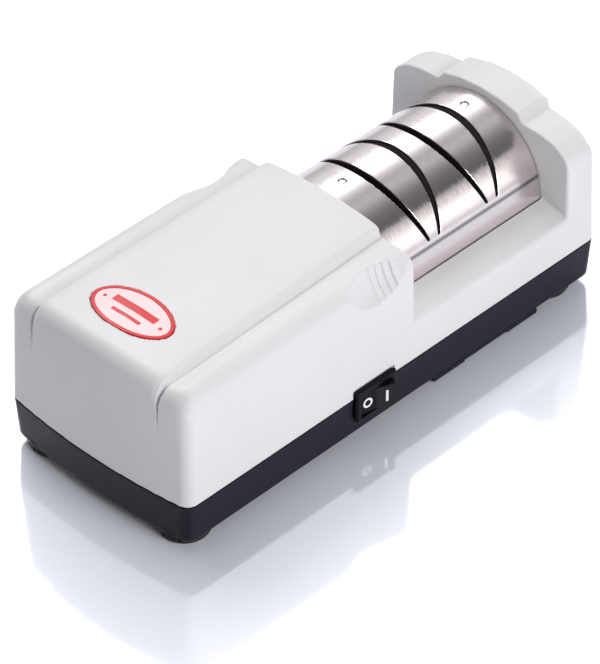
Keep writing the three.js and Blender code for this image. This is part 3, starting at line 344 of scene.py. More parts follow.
def net_points(values, active, axes):
    """A first place for each active cell's vertex: the middle of its edges' zero crossings."""
    cells = np.argwhere(active)
    total = np.zeros((len(cells), 3))
    hits = np.zeros(len(cells))
    for corner in np.ndindex(2, 2, 2):
        for axis in range(3):
            if corner[axis]:
                continue
            far = np.array(corner)
            far[axis] = 1
            near_at, far_at = cells + corner, cells + far
            a, b = values[tuple(near_at.T)], values[tuple(far_at.T)]
            crosses = (a < 0) != (b < 0)
            share = np.where(crosses, a / np.where(crosses, a - b, 1), 0)[:, None]
            near = np.stack([axes[k][near_at[:, k]] for k in range(3)], 1)
            end = np.stack([axes[k][far_at[:, k]] for k in range(3)], 1)
            total += np.where(crosses[:, None], near + share * (end - near), 0)
            hits += crosses
    return total / hits[:, None]


def net_quads(inside, number):
    """One quad round each grid edge that crosses the surface."""
    quads = []
    for axis in range(3):
        order = (axis, (axis + 1) % 3, (axis + 2) % 3)
        side = np.transpose(inside, order)
        cell = np.transpose(number, order)
        near, far = side[:-1, 1:-1, 1:-1], side[1:, 1:-1, 1:-1]
        ring = [cell[:, :-1, :-1], cell[:, 1:, :-1], cell[:, 1:, 1:], cell[:, :-1, 1:]]
        for outward, mask in ((ring, near & ~far), (ring[::-1], far & ~near)):
            quads.append(np.stack([corner[mask] for corner in outward], 1))
    return np.concatenate(quads)


def surface_net(name, field, xs, ys, zs, warp=None):
    """A closed mesh of the surface where field is zero. warp bends the finished points and normals."""
    axes = (xs, ys, zs)
    values = field(*np.meshgrid(*axes, indexing="ij"))
    inside = values < 0
    count = np.zeros([len(a) - 1 for a in axes], np.int8)
    for corner in np.ndindex(2, 2, 2):
        window = tuple(slice(c, len(a) - 1 + c) for c, a in zip(corner, axes))
        count += inside[window]
    active = (count > 0) & (count < 8)
    number = np.full(active.shape, -1)
    number[active] = np.arange(active.sum())
    points = net_points(values, active, axes)
    for _ in range(SETTLE_PASSES):
        slope = gradient(field, points)
        size = np.maximum((slope ** 2).sum(1), FLATTEST_SLOPE)
        move = slope * (field(*points.T) / size)[:, None]
        length = np.maximum(np.linalg.norm(move, axis=1), 1e-9)
        points -= move * np.minimum(1, LONGEST_MOVE / length)[:, None]
    normals = gradient(field, points)
    normals /= np.maximum(np.linalg.norm(normals, axis=1), 1e-6)[:, None]
    if warp:
        points, normals = warp(points, normals)
    return mesh_object(name, points, net_quads(inside, number), normals)


def mesh_object(name, points, faces, normals=None):
    """A smooth-shaded object from points in millimetres."""
    mesh = bpy.data.meshes.new(name)
    mesh.from_pydata(np.asarray(points) * MM, [], faces)
    mesh.shade_smooth()
    if normals is not None:
        mesh.normals_split_custom_set_from_vertices(normals)
    obj = bpy.data.objects.new(name, mesh)
    bpy.context.scene.collection.objects.link(obj)
    return obj


def lathe(name, profile, centre, axis="Z", segments=96, bevel=0.2):
    """A turned piece. profile holds (radius, height) points: a closed loop, or a line from axis to axis."""
    open_loop = profile[0][0] == 0
    rings = profile[1:-1] if open_loop else profile
    angles = np.linspace(0, 2 * math.pi, segments, endpoint=False)
    points = [(r * math.cos(t), r * math.sin(t), h) for r, h in rings for t in angles]
    faces = []
    count = len(rings)
    for i in range(count - 1 if open_loop else count):
        a, b = i * segments, ((i + 1) % count) * segments
        for j in range(segments):
            k = (j + 1) % segments
            faces.append((a + j, a + k, b + k, b + j))
    if open_loop:
        faces.append(tuple(reversed(range(segments))))
        faces.append(tuple(range((count - 1) * segments, count * segments)))
    turn = {"Z": Matrix(), "Y": Matrix.Rotation(-math.pi / 2, 4, "X")}[axis]
    place = Matrix.Translation(Vector(centre)) @ turn
    obj = mesh_object(name, [place @ Vector(p) for p in points], faces)
    soften(obj, bevel)
    return obj


def soften(obj, width, angle=30):
    """Rounded edges and smooth shading between them."""
    bevel = obj.modifiers.new("rounded_edges", "BEVEL")
    bevel.width = width * MM
    bevel.segments = 3
    bevel.limit_method = "ANGLE"
    bevel.angle_limit = math.radians(angle)
    bevel.harden_normals = True


# ---------- Materials ----------

class Nodes:
    """Short names for the shader nodes that the materials share."""

    def __init__(self, name):
        self.material = bpy.data.materials.new(name)
        self.material.use_nodes = True
        self.tree = self.material.node_tree
        self.shader = self.tree.nodes["Principled BSDF"]

    def add(self, kind, inputs=None, **settings):
        node = self.tree.nodes.new(kind)
        for key, value in settings.items():
            setattr(node, key, value)
        for key, value in (inputs or {}).items():
            self.put(node.inputs[key], value)
        return node

    def put(self, socket, value):
        if isinstance(value, bpy.types.NodeSocket):
            self.tree.links.new(value, socket)
        else:
            socket.default_value = value

    def noise(self, scale, detail=2.0, stretch=(1, 1, 1), coordinates="Object"):
        """Cloudy grey values, fixed to the object or to its UV map."""
        place = self.add("ShaderNodeTexCoord").outputs[coordinates]
        mapping = self.add("ShaderNodeMapping", {"Vector": place, "Scale": stretch})
        inputs = {"Vector": mapping.outputs[0], "Scale": scale, "Detail": detail}
        return self.add("ShaderNodeTexNoise", inputs).outputs["Fac"]

    def spread(self, value, low, high, source=(0.0, 1.0)):
        """Takes values in the source span to the span from low to high."""
        inputs = {"Value": value, "From Min": source[0], "From Max": source[1], "To Min": low, "To Max": high}
        return self.add("ShaderNodeMapRange", inputs).outputs["Result"]

    def math(self, operation, *values):
        return self.add("ShaderNodeMath", dict(enumerate(values)), operation=operation).outputs[0]

    def tint(self, factor, low, high):
        """A colour between low and high."""
        mix = self.add("ShaderNodeMix", data_type="RGBA")
        self.put(mix.inputs[0], factor)
        self.put(mix.inputs[6], (*low, 1))
        self.put(mix.inputs[7], (*high, 1))
        return mix.outputs[2]

    def bump(self, height, strength, distance, before=None):
        inputs = {"Height": height, "Strength": strength, "Distance": distance * MM}
        if before is not None:
            inputs["Normal"] = before
        return self.add("ShaderNodeBump", inputs).outputs[0]

    def finish(self, **sockets):
        """Sets the shader's sockets, named in lower case, and returns the material."""
        for name, value in sockets.items():
            self.put(self.shader.inputs[name.replace("_", " ").title().replace("Ior", "IOR")], value)
        return self.material


NOISE_SPAN = (0.3, 0.7)  # most of a noise texture's values lie in this
MIDDLE_SPAN = (0.35, 0.65)
EDGE_SPAN = (0.52, 0.58)  # pointiness from a flat surface to a worn edge


def scaled(color, factor):
    """A colour made darker or lighter."""
    return tuple(min(1.0, c * factor) for c in color)


def moulded(name, color, roughness, grain=1800, grain_depth=0.006, wear=0.12, shine=0.5):
    """Moulded plastic or rubber: fine spark grain, faint flow marks and paler worn edges."""
    n = Nodes(name)
    flow = n.noise(28, 3)
    base = n.tint(n.spread(flow, 0, 1, MIDDLE_SPAN), scaled(color, 0.985), scaled(color, 1.015))
    edge = n.add("ShaderNodeNewGeometry").outputs["Pointiness"]
    worn = n.spread(edge, 0, wear, EDGE_SPAN)
    mix = n.add("ShaderNodeMix", data_type="RGBA")
    n.put(mix.inputs[0], worn)
    n.put(mix.inputs[6], base)
    n.put(mix.inputs[7], (*scaled(color, 1.25), 1))
    smudge = n.noise(60, 4)
    rough = n.spread(smudge, roughness * 0.88, roughness * 1.12, NOISE_SPAN)
    normal = n.bump(n.noise(grain, 2), 0.5, grain_depth)
    return n.finish(base_color=mix.outputs[2], roughness=rough, normal=normal, specular_ior_level=shine)


def metal(name, color, roughness, grain=900, stretch=(1, 1, 1), depth=0.004):
    """Plain plated or bare metal with fine machining marks."""
    n = Nodes(name)
    marks = n.noise(grain, 3, stretch)
    base = n.tint(n.noise(40, 3), scaled(color, 0.9), scaled(color, 1.08))
    rough = n.spread(marks, roughness * 0.8, roughness * 1.25, NOISE_SPAN)
    return n.finish(base_color=base, roughness=rough, metallic=1.0, normal=n.bump(marks, 0.5, depth))


STEEL_TONES = ((0.705, 0.643, 0.637), (0.785, 0.722, 0.715))
STREAK_STRETCH = (3000, 260, 1)  # streaks are short round the bend and very fine along the ridge
CLOUD_STRETCH = (40, 30, 1)
STREAK_LEAN = 0.024
# Painted shade: along the crease the steel's colour is darkened towards this tone, standing in for the shade
# and dim reflection there.
CREASE_SHADE_TONE = (0.28, 0.27, 0.29)
CREASE_SHADE_FADE = (0.0002, 0.0014)  # metres from the crease's middle at which the painted shade line is darkest and gone


def crease_shade_paint(n):
    """Painted shade: a dark line in the steel's colour where the sheet's bend meets its flat side: 1 away
    from it.
    """
    run = n.add("ShaderNodeSeparateXYZ", {0: n.add("ShaderNodeTexCoord").outputs["UV"]}).outputs[1]
    from_ridge = n.math("ABSOLUTE", run)
    off_line = n.math("ABSOLUTE", n.math("SUBTRACT", from_ridge, CREASE_RUN * MM))
    return n.tint(n.spread(off_line, 0, 1, CREASE_SHADE_FADE), CREASE_SHADE_TONE, (1, 1, 1))


def brushed_steel():
    """Stainless sheet brushed round its bend: short streaks that follow the curve, and a painted shade line
    along the crease.
    """
    n = Nodes("brushed_steel")
    streaks = n.noise(1.0, 4, STREAK_STRETCH, "UV")
    clouds = n.noise(1.0, 3, CLOUD_STRETCH, "UV")
    sheet = n.tint(n.spread(streaks, 0, 1, NOISE_SPAN), *STEEL_TONES)
    # The crease's painted shade line is multiplied into the brushed colour.
    layers = {6: crease_shade_paint(n), 7: sheet, 0: 1.0}
    base = n.add("ShaderNodeMix", layers, data_type="RGBA", blend_type="MULTIPLY").outputs[2]
    rough_streaks = n.spread(streaks, 0.15, 0.20, NOISE_SPAN)
    rough = n.math("ADD", rough_streaks, n.spread(clouds, -0.015, 0.02, NOISE_SPAN))
    tangent = n.add("ShaderNodeTangent", direction_type="RADIAL", axis="X").outputs[0]
    lean = n.spread(streaks, -STREAK_LEAN, STREAK_LEAN, NOISE_SPAN)
    wander = n.add("ShaderNodeVectorMath", {0: tangent, "Scale": lean}, operation="SCALE").outputs[0]
    upright = n.add("ShaderNodeNewGeometry").outputs["Normal"]
    leaning = n.add("ShaderNodeVectorMath", {0: upright, 1: wander}, operation="ADD").outputs[0]
    normal = n.bump(streaks, 0.12, 0.012, leaning)
    n.put(n.shader.inputs["Tangent"], tangent)
    sockets = {"anisotropic": 0.85, "anisotropic_rotation": 0.25}
    return n.finish(base_color=base, roughness=rough, metallic=1.0, normal=normal, **sockets)


def grit(name, color):
    """Bonded abrasive grain."""
    n = Nodes(name)
    grains = n.noise(2600, 3)
    base = n.tint(n.spread(grains, 0, 1, MIDDLE_SPAN), scaled(color, 0.6), scaled(color, 1.5))
    return n.finish(base_color=base, roughness=0.9, normal=n.bump(grains, 0.8, 0.1))


def pressed_felt(name, color):
    """Matted wool fibres."""
    n = Nodes(name)
    fibres = n.noise(1500, 4)
    base = n.tint(fibres, scaled(color, 0.7), scaled(color, 1.3))
    return n.finish(base_color=base, roughness=0.95, sheen_weight=0.3, normal=n.bump(fibres, 0.6, 0.08))


WHITE = (0.635, 0.627, 0.637)
CHARCOAL = (0.0085, 0.0076, 0.0165)
BADGE_RED = (0.60, 0.008, 0.012)
BADGE_PALE = (0.78, 0.60, 0.615)
SWITCH_BLACK = (0.004, 0.0038, 0.0075)
GUIDE_BLACK = (0.042, 0.030, 0.032)
# Stacked sheets and wound wire: their lines come from noise stretched across the stack or the winding.
LAMINATION_STRETCH = (2600, 1, 1)
WINDING_STRETCH = (2400, 300, 300)

finishes = {
    "white_plastic": moulded("white_plastic", WHITE, 0.42, shine=0.36),
    "black_plastic": moulded("black_plastic", CHARCOAL, 0.38, wear=0.3, shine=0.16),
    "guide_plastic": moulded("guide_plastic", GUIDE_BLACK, 0.45),
    "badge": moulded("badge_red", BADGE_RED, 0.16, grain_depth=0.002, wear=0, shine=0.3),
    "brushed_steel": brushed_steel(),
    "foot_rubber": moulded("foot_rubber", (0.014, 0.014, 0.016), 0.75, grain=900, grain_depth=0.03),
    "bush_rubber": moulded("bush_rubber", (0.016, 0.016, 0.018), 0.6, grain=900, grain_depth=0.02),
    "zinc_steel": metal("zinc_steel", (0.60, 0.61, 0.62), 0.33),
    "switch_plastic": moulded("switch_plastic", SWITCH_BLACK, 0.35, grain_depth=0.003, wear=0.3, shine=0.14),
    "brass": metal("brass", (0.75, 0.55, 0.28), 0.3),
    "lamination_steel": metal("lamination_steel", (0.13, 0.135, 0.14), 0.5, 1, LAMINATION_STRETCH, 0.12),
    "nylon": moulded("nylon", (0.68, 0.65, 0.56), 0.5),
    "copper": metal("copper", (0.72, 0.33, 0.17), 0.35, 1, WINDING_STRETCH, 0.15),
    "bronze": metal("bronze", (0.45, 0.30, 0.15), 0.5),
    "coarse_abrasive": grit("coarse_abrasive", (0.27, 0.10, 0.07)),
    "fine_abrasive": grit("fine_abrasive", (0.62, 0.60, 0.56)),
    "felt": pressed_felt("felt", (0.26, 0.25, 0.23)),
    "wire_cover": moulded("wire_cover", (0.02, 0.05, 0.18), 0.4),
}
badge_field = moulded("badge_field", BADGE_PALE, 0.22, grain_depth=0.002, wear=0, shine=0.3)
mark_white = moulded("mark_white", (0.80, 0.80, 0.80), 0.4)
slot_of = {row["node"]: row["material_slot"] for row in frame["record"]["subparts"]}


def dress(obj, body, material, stands_for=()):
    """Gives a new piece its material and ties it to the frame."""
    obj.data.materials.clear()
    obj.data.materials.append(material)
    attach(obj, body)
    if stands_for:
        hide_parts(*stands_for)
    return obj


for node_name, node in frame["nodes"].items():
    node.data.materials.clear()
    node.data.materials.append(finishes[slot_of[node_name]])


# ---------- Housing ----------

upper = surface_net(
    "housing_moulding",
    housing,
    lines((-116, -72, 0.7), (-72, -28, 2.0), (-28, 9, 0.55), (9, 91, 2.5), (91, 116, 0.7)),
    lines((-48, -34, 0.6), (-34, -27, 0.35), (-27, 27, 1.1), (27, 34, 0.35), (34, 48, 0.6)),
    lines((20.6, 27, 0.55), (27, 36, 1.0), (36, 44, 0.55), (44, 54, 1.5), (54, 80, 0.6)),
)
dress(upper, "body", finishes["white_plastic"], ["upper_housing"])


# ---------- Base ----------

FLOOR_Z = 6.2  # upper side of the base's floor
BASE_WALL = 2.8
BOSS_RADIUS = 10.9  # the round boss outside, over each foot
BOSS_LOW_Z = 1.7
INNER_BOSS_RADIUS = 5.5
PAD_SEAT = (10.5, 3.2)  # radius and height of the room for a foot
SCREW_HEAD_HOLE = 3.6
SCREW_SHANK_HOLE = 1.9
GUIDE_POSTS = [(13, 19.5), (87, 19.5)]
GUIDE_POST_RADIUS = 4.6
END_BEARING_POST = [(85, 90), (-12, 12), (5, AXIS_Z)]
END_BEARING_SEAT = 8.3
PARTITION = [(4.6, 6.7), (-43, 43), (5, 20.8)]
MOTOR_PAD = [(-60, -40), (18, 27), (5, 11.7)]
MOTOR_STOP = [(-56, -44), (27.3, 30), (5, 30)]
POST_ROUND = 0.4
TONGUE_THICKNESS = 1.4  # the tongue round the base's top centres the housing
TONGUE_Z = (17, 23)
UNDER_Z = -5  # openings in the floor are cut from here, below everything
DUST_HOLE = [(24, 77), (-29, 29), (UNDER_Z, 8.2)]


def foot_centre(place):
    """Where a foot stands, in plan."""
    low, high = box_mm("rubber_foot_" + place)
    return (low + high)[:2] / 2


def base_posts(x, y, z):
    """The posts, pads and partition that stand on the base's floor."""
    post = block(x, y, z, END_BEARING_POST, POST_ROUND)
    post = cut(post, np.hypot(y, z - AXIS_Z) - END_BEARING_SEAT, 0.3)
    field = np.minimum(post, block(x, y, z, PARTITION, POST_ROUND))
    field = np.minimum(field, block(x, np.abs(y), z, MOTOR_PAD, POST_ROUND))
    field = np.minimum(field, block(x, np.abs(y), z, MOTOR_STOP, POST_ROUND))
    for centre in GUIDE_POSTS:
        field = np.minimum(field, pillar(x, np.abs(y), z, centre, GUIDE_POST_RADIUS, (5, 29.7)))
    return field


RUNNER_WEB = 1.6
RUNNER_LIP = 2.2
RUNNER_Y = (-38, 33)
RUNNER_WEB_Z = (1.2, 4.4)
RUNNER_LIP_Z = (1.2, 2.1)


def tray_runners(x, y, z):
    """The two lipped rails under the base that carry the filings tray."""
    fields = []
    for edge, side in ((tray_low[0], -1), (tray_high[0], 1)):
        near, far = edge + side * GAP, edge + side * (GAP + RUNNER_WEB)
        lip = edge + side * (GAP - RUNNER_LIP)
        fields.append(block(x, y, z, [sorted((near, far)), RUNNER_Y, RUNNER_WEB_Z], 0.2))
        fields.append(block(x, y, z, [sorted((lip, far)), RUNNER_Y, RUNNER_LIP_Z], 0.2))
    return np.minimum.reduce(fields)


VENT_COUNT = 6
VENT_PITCH = 5.4
VENT_START_X = -84
VENT_MIDDLE = 0.24  # half a slot's width as a share of the pitch
FIRST_VENT = [(VENT_START_X, -81.4), (-18, 18), (UNDER_Z, 8.2)]


def vents(x, y, z):
    """Six cooling slots under the motor."""
    phase = (x - VENT_START_X) / VENT_PITCH
    nearest = np.clip(np.round(phase - VENT_MIDDLE), 0, VENT_COUNT - 1)
    return block(x - VENT_PITCH * nearest, y, z, FIRST_VENT, 1.2)


def base(x, y, z):
    """The black moulding: a tray with bosses, posts and runners, and the openings cut in them."""
    shrink = BASE_DRAFT * (SEAM_Z - np.minimum(z, SEAM_Z))
    end, side = plan_walls(x, y, HALF_LENGTH - shrink, HALF_WIDTH - shrink)
    walls = round_and(end, side, CORNER_RADIUS)
    shell = round_and(walls, FOOT_HEIGHT - z, 1.5)
    shell = cut(shell, round_and(walls + BASE_WALL, FLOOR_Z - z, 1.0), 0.3)
    shell = round_and(shell, z - SEAM_Z + GAP / 2, SEAM_ROUND)
    for place in FEET:
        centre = foot_centre(place)
        shell = round_or(shell, pillar(x, y, z, centre, BOSS_RADIUS, (BOSS_LOW_Z, FLOOR_Z), 0.6), 0.5)
        shell = np.minimum(shell, pillar(x, y, z, centre, INNER_BOSS_RADIUS, (4, 17)))
    tongue = slab(walls, -WALL - GAP - TONGUE_THICKNESS, -WALL - GAP)
    tongue = round_and(tongue, slab(z, *TONGUE_Z), 0.3)
    for plate_x in (HOOD_END_X - WALL, END_WALL_X):
        tongue = np.maximum(tongue, -np.maximum(slab(x, plate_x - 0.5, plate_x + WALL + 0.5), SEAM_Z - z))
    shell = np.minimum(shell, tongue)
    shell = np.minimum(shell, base_posts(x, y, z))
    shell = np.minimum(shell, tray_runners(x, y, z))
    for place in FEET:
        centre = foot_centre(place)
        shell = cut(shell, pillar(x, y, z, centre, PAD_SEAT[0], (UNDER_Z, PAD_SEAT[1]), 0), 0.2)
        shell = cut(shell, pillar(x, y, z, centre, SCREW_HEAD_HOLE, (UNDER_Z, 8), 0), 0.2)
        shell = cut(shell, pillar(x, y, z, centre, SCREW_SHANK_HOLE, (UNDER_Z, 30), 0), 0)
    for centre in GUIDE_POSTS:
        shell = cut(shell, pillar(x, np.abs(y), z, centre, SCREW_HEAD_HOLE, (UNDER_Z, 7.5), 0), 0.3)
        shell = cut(shell, pillar(x, np.abs(y), z, centre, SCREW_SHANK_HOLE, (UNDER_Z, 40), 0), 0)
    shell = cut(shell, block(x, y, z, DUST_HOLE, 1.0), 0.3)
    shell = cut(shell, vents(x, y, z), 0.3)
    return cut(shell, switch_opening(x, y, z), SWITCH_EDGE)


lower = surface_net(
    "base_moulding",
    base,
    lines((-116, -50, 0.8), (-50, -28, 2.0), (-28, 8, 0.7), (8, 30, 0.8), (30, 74, 2.0), (74, 116, 0.8)),
    lines((-48, -26, 0.7), (-26, 26, 0.9), (26, 48, 0.7)),
    lines((0.8, 8.8, 0.4), (8.8, 16, 0.8), (16, 23.6, 0.4), (23.6, 44, 1.4)),
)
dress(lower, "body", finishes["black_plastic"], ["base_tray"])


# ---------- Filings tray ----------

TRAY_FLANGE = 2.6  # how far the flange stands out from the pan
FLANGE_THICKNESS = 0.9
TRAY_WALL = 1.0
GRIP_HALF = 12


def tray(x, y, z):
    """A shallow pan that hangs by its flanges, with a finger grip under its front."""
    (x0, y0, z0), (x1, y1, z1) = tray_low, tray_high
    pan_x = (x0 + TRAY_FLANGE, x1 - TRAY_FLANGE)
    pan = block(x, y, z, [pan_x, (y0, y1), (z0, z1)], 0.3)
    flange = block(x, y, z, [(x0, x1), (y0 + 1, y1), (z1 - FLANGE_THICKNESS, z1)], 0.2)
    hollow_x = (pan_x[0] + TRAY_WALL, pan_x[1] - TRAY_WALL)
    hollow = block(x, y, z, [hollow_x, (y0 + 4, y1 - 1.2), (z0 + TRAY_WALL, z1 + 5)], 0.4)
    grip_x = ((x0 + x1) / 2 - GRIP_HALF, (x0 + x1) / 2 + GRIP_HALF)
    grip = block(x, y, z, [grip_x, (y0 - 5, y0 + 0.5), (-1, z1 - FLANGE_THICKNESS)], 0.3)
    return cut(cut(np.minimum(pan, flange), hollow, 0.2), grip, 0.2)


drawer = surface_net(
    "filings_drawer",
    tray,
    lines((tray_low[0] - 1, tray_high[0] + 1, 0.7)),
    lines((tray_low[1] - 1, tray_high[1] + 1, 0.7)),
    lines((tray_low[2] - 0.6, tray_high[2] + 0.6, 0.25)),
)
dress(drawer, "tray", finishes["black_plastic"], ["filings_tray"])


# ---------- Steel cover ----------

SHEET = 1.0  # thickness
COVER_FOOT_Y = 33.75
SIDE_HEIGHT = 16.6  # of the sheet's flat sides, below the crease
FOOT_LEAN = math.atan2(COVER_FOOT_Y - COVER_RADIUS * math.cos(math.radians(COVER_CREASE)), SIDE_HEIGHT)
BEND_STEP = 0.05
SIDE_RUN = 16.8  # the table of the bend goes on this far past the crease
CREASE_BLUR = 1.2
SLOT_TILT = math.tan(math.radians(18.7))
SLOT_OFFSET = 9.7  # from a wheel's middle to its slots, at the ridge
SLOT_LOW_Z = 54.6
SLOT_WIDTHS = (1.4, 3.4)  # at the low end, at the ridge
PIN_HOLE_RADIUS = 1.8
# Half section of a pin: radius, height from the ridge.
PIN_PROFILE = [
    (0, -9), (1.2, -9), (1.2, -1), (1.5, -1), (1.5, -0.5), (1.25, -0.36), (0.8, -0.31), (0, -0.3),
]
PIN_X = [sum(b[0] for b in box_mm(name)) / 2 for name in ("cover_pin_inner", "cover_pin_outer")]


def bend_table():
    """The sheet's outer line from its ridge to its foot: run, direction angle, y and z."""
    run = np.arange(0, CREASE_RUN + SIDE_RUN, BEND_STEP)
    turn = np.where(run < CREASE_RUN, run / COVER_RADIUS, math.pi / 2 - FOOT_LEAN)
    width = odd_count(CREASE_BLUR, BEND_STEP)
    padded = np.pad(turn, width // 2, mode="reflect", reflect_type="odd")
    turn = np.convolve(padded, np.ones(width) / width, "valid")
    y = np.concatenate([[0], np.cumsum(np.cos(turn[:-1]) * BEND_STEP)])
    z = AXIS_Z + COVER_RADIUS - np.concatenate([[0], np.cumsum(np.sin(turn[:-1]) * BEND_STEP)])
    keep = z >= cover_low[2]
    return run[keep], turn[keep], y[keep], z[keep]


BEND_RUN, BEND_TURN, BEND_Y, BEND_Z = bend_table()


def wrap_sheet(points, normals):
    """Takes flat (x, run across the ridge, depth) points to their place on the bent sheet."""
    x, run, depth = points.T
    side = np.sign(run)
    turn = np.interp(np.abs(run), BEND_RUN, BEND_TURN)
    out_y, out_z = side * np.sin(turn), np.cos(turn)
    along_y, along_z = np.cos(turn), -side * np.sin(turn)
    y = side * np.interp(np.abs(run), BEND_RUN, BEND_Y) + depth * out_y
    z = np.interp(np.abs(run), BEND_RUN, BEND_Z) + depth * out_z
    a, b, c = normals.T
    return np.stack([x, y, z], 1), np.stack([a, b * along_y + c * out_y, b * along_z + c * out_z], 1)


def cover_sheet(x, run, depth):
    """The sheet laid flat, with its four tapering slots and two pin holes."""
    height = np.interp(np.abs(run), BEND_RUN, BEND_Z)
    top = AXIS_Z + COVER_RADIUS
    flat = [(cover_low[0], cover_high[0]), (-BEND_RUN[-1], BEND_RUN[-1]), (-SHEET, 0)]
    sheet = block(x, run, depth, flat, 0.15)
    share = (height - SLOT_LOW_Z) / (top - SLOT_LOW_Z)
    half = (SLOT_WIDTHS[0] + (SLOT_WIDTHS[1] - SLOT_WIDTHS[0]) * share) / 2
    for wheel_x in WHEEL_X:
        for side in (-1, 1):
            centre = wheel_x + side * (SLOT_OFFSET - SLOT_TILT * (top - height))
            slot = round_and(np.abs(x - centre) - half, SLOT_LOW_Z - height, 0.6)
            sheet = cut(sheet, slot, 0.18)
    for pin_x in PIN_X:
        sheet = cut(sheet, np.hypot(x - pin_x, run) - PIN_HOLE_RADIUS, 0.1)
    return sheet


cover = surface_net(
    "steel_cover",
    cover_sheet,
    lines((cover_low[0] - 0.5, cover_high[0] + 0.5, 0.42)),
    lines((-BEND_RUN[-1] - 0.5, BEND_RUN[-1] + 0.5, 0.5)),
    np.array([-1.4, -1.12, -0.85, -0.5, -0.15, 0.12, 0.4]),
    wrap_sheet,
)


def unwrap_cover(obj):
    """A UV map in metres: along the ridge, and round the bend."""
    layer = obj.data.uv_layers.new(name="run_of_sheet")
    co = np.array([v.co for v in obj.data.vertices])
    run = np.interp(co[:, 2] / MM, BEND_Z[::-1], BEND_RUN[::-1])
    uv = np.stack([co[:, 0], np.sign(co[:, 1]) * run * MM], 1)
    corner = np.array([loop.vertex_index for loop in obj.data.loops])
    layer.data.foreach_set("uv", uv[corner].ravel())


unwrap_cover(cover)
dress(cover, "body", finishes["brushed_steel"], ["guide_cover"])

for pin_name, pin_x in zip(("cover_pin_inner", "cover_pin_outer"), PIN_X):
    ridge = (pin_x, 0, AXIS_Z + COVER_RADIUS)
    pin = lathe(pin_name.replace("cover_", "steel_"), PIN_PROFILE, ridge, bevel=0.08)
    dress(pin, "body", finishes["zinc_steel"], [pin_name])


# ---------- Badge ----------

ABOVE_HOOD_Z = 78.0


def hood_level(x, y, _):
    """Height of the hood's top at a place in plan."""
    return ABOVE_HOOD_Z - hood_top(x, y, np.full_like(x, ABOVE_HOOD_Z))


def on_hood(points, normals):
    """Lays flat (x, y, height) points on the hood's top."""
    x, y, height = points.T
    slope = gradient(hood_level, np.stack([x, y, x * 0], 1))
    a, b, c = normals.T
    bent = np.stack([a - c * slope[:, 0], b - c * slope[:, 1], c], 1)
    laid = np.stack([x, y, hood_level(x, y, None) + height], 1)
    return laid, bent / np.linalg.norm(bent, axis=1)[:, None]


RIM_WIDTH = 1.5
# Underside and top of each layer, measured from the hood's top.
RIM_SPAN = (-0.55, 0.28)
FLOOR_SPAN = (-0.55, -0.2)
FIELD_SPAN = (-0.18, 0.12)
MARK_SPAN = (0.04, 0.2)
MARK_ROUND = 0.06


def badge_rim(x, y, t):
    """The raised rim, with the plate's sunk floor inside it."""
    rim = ellipse(x, y, BADGE_CENTRE, BADGE_RADII)
    ring = round_and(rim, -rim - RIM_WIDTH, 0.3)
    raised = round_and(ring, slab(t, *RIM_SPAN), 0.2)
    return np.minimum(raised, round_and(rim + 0.1, slab(t, *FLOOR_SPAN), 0.1))


def badge_face(x, y, t):
    """The pale field inside the rim."""
    rim = ellipse(x, y, BADGE_CENTRE, BADGE_RADII) + RIM_WIDTH + 0.02
    return round_and(rim, slab(t, *FIELD_SPAN), 0.08)


BARS = [(1.6, 10.8, 1.7), (-3.4, 7.2, 0.8)]  # place in x, half length, half thickness
DOT_Y = 14.2
DOT_RADIUS = 0.75


def badge_marks(x, y, t):
    """A plain device in place of words: a thick bar, a thin bar and a dot at each side."""
    u = x - BADGE_CENTRE[0]
    v = y - BADGE_CENTRE[1]
    dots = np.hypot(u, np.abs(v) - DOT_Y) - DOT_RADIUS
    field = round_and(dots, slab(t, *MARK_SPAN), MARK_ROUND)
    for place, reach, half in BARS:
        bar = block(u, v, t, [(place - half, place + half), (-reach, reach), MARK_SPAN], MARK_ROUND)
        field = np.minimum(field, bar)
    return field


badge_grid = (
    lines((badge_low[0] - 0.4, badge_high[0] + 0.4, 0.25)),
    lines((badge_low[1] - 0.4, badge_high[1] + 0.4, 0.25)),
)
rim = surface_net("badge_rim", badge_rim, *badge_grid, lines((-0.7, 0.4, 0.12)), on_hood)
dress(rim, "body", finishes["badge"], ["badge_plate"])
face = surface_net("badge_face", badge_face, *badge_grid, lines((-0.3, 0.2, 0.08)), on_hood)
dress(face, "body", badge_field)
marks = surface_net("badge_marks", badge_marks, *badge_grid, lines((-0.04, 0.28, 0.05)), on_hood)
dress(marks, "body", finishes["badge"])


# ---------- Switch ----------

FACE_Y = frame_low[1]
BEZEL_LEAN = 0.55  # slope of the rim's chamfer
CHAMFER_DEPTH = 1.3
OPENING = [(-22.8, -5.6), (OUTSIDE_Y, -36), (11.6, 21.8)]
SWITCH_BODY = [(-23.6, -4.8), (SWITCH_SEAT_Y - 0.5, -31), (10.9, 22.9)]
PIVOT = np.array([SWITCH_X, -47.6, 16.7])
ROCKER_TILT = math.radians(-16)
ROCKER_RADIUS = 8.2
ROCKER_HALF_HEIGHT = 4.8
ROCKER_MIDDLE = 1.0  # how far the middle of the face is outside the pivot
ROCKER_RISE = 0.152  # slope of the face from its middle to each end
ROCKER_DISH = 0.8  # larger numbers soften the fold in the middle
MARK_X = 4.2
MARK_PROUD = 0.07
BAR_HALF = (0.5, 2.6)
RING_RADIUS = 1.75
RING_HALF = 0.45


def bezel(x, y, z):
    """The switch's frame: a chamfered rim and the box behind it."""
    u, w = x - SWITCH_X, z - SWITCH_Z
    across, up = SWITCH_HALF
    rim = block(u, y, w, [(-across, across), (FACE_Y - 3, SWITCH_SEAT_Y - GAP), (-up, up)], 1.2)
    lean = BEZEL_LEAN * (FACE_Y + CHAMFER_DEPTH - y)
    face = np.maximum(np.abs(u) - across + lean, np.abs(w) - up + lean) / math.hypot(1, BEZEL_LEAN)
    rim = round_and(round_and(rim, face, 0.3), FACE_Y - y, 0.3)
    return cut(np.minimum(rim, block(x, y, z, SWITCH_BODY, 0.3)), block(x, y, z, OPENING, 0.5), 0.3)


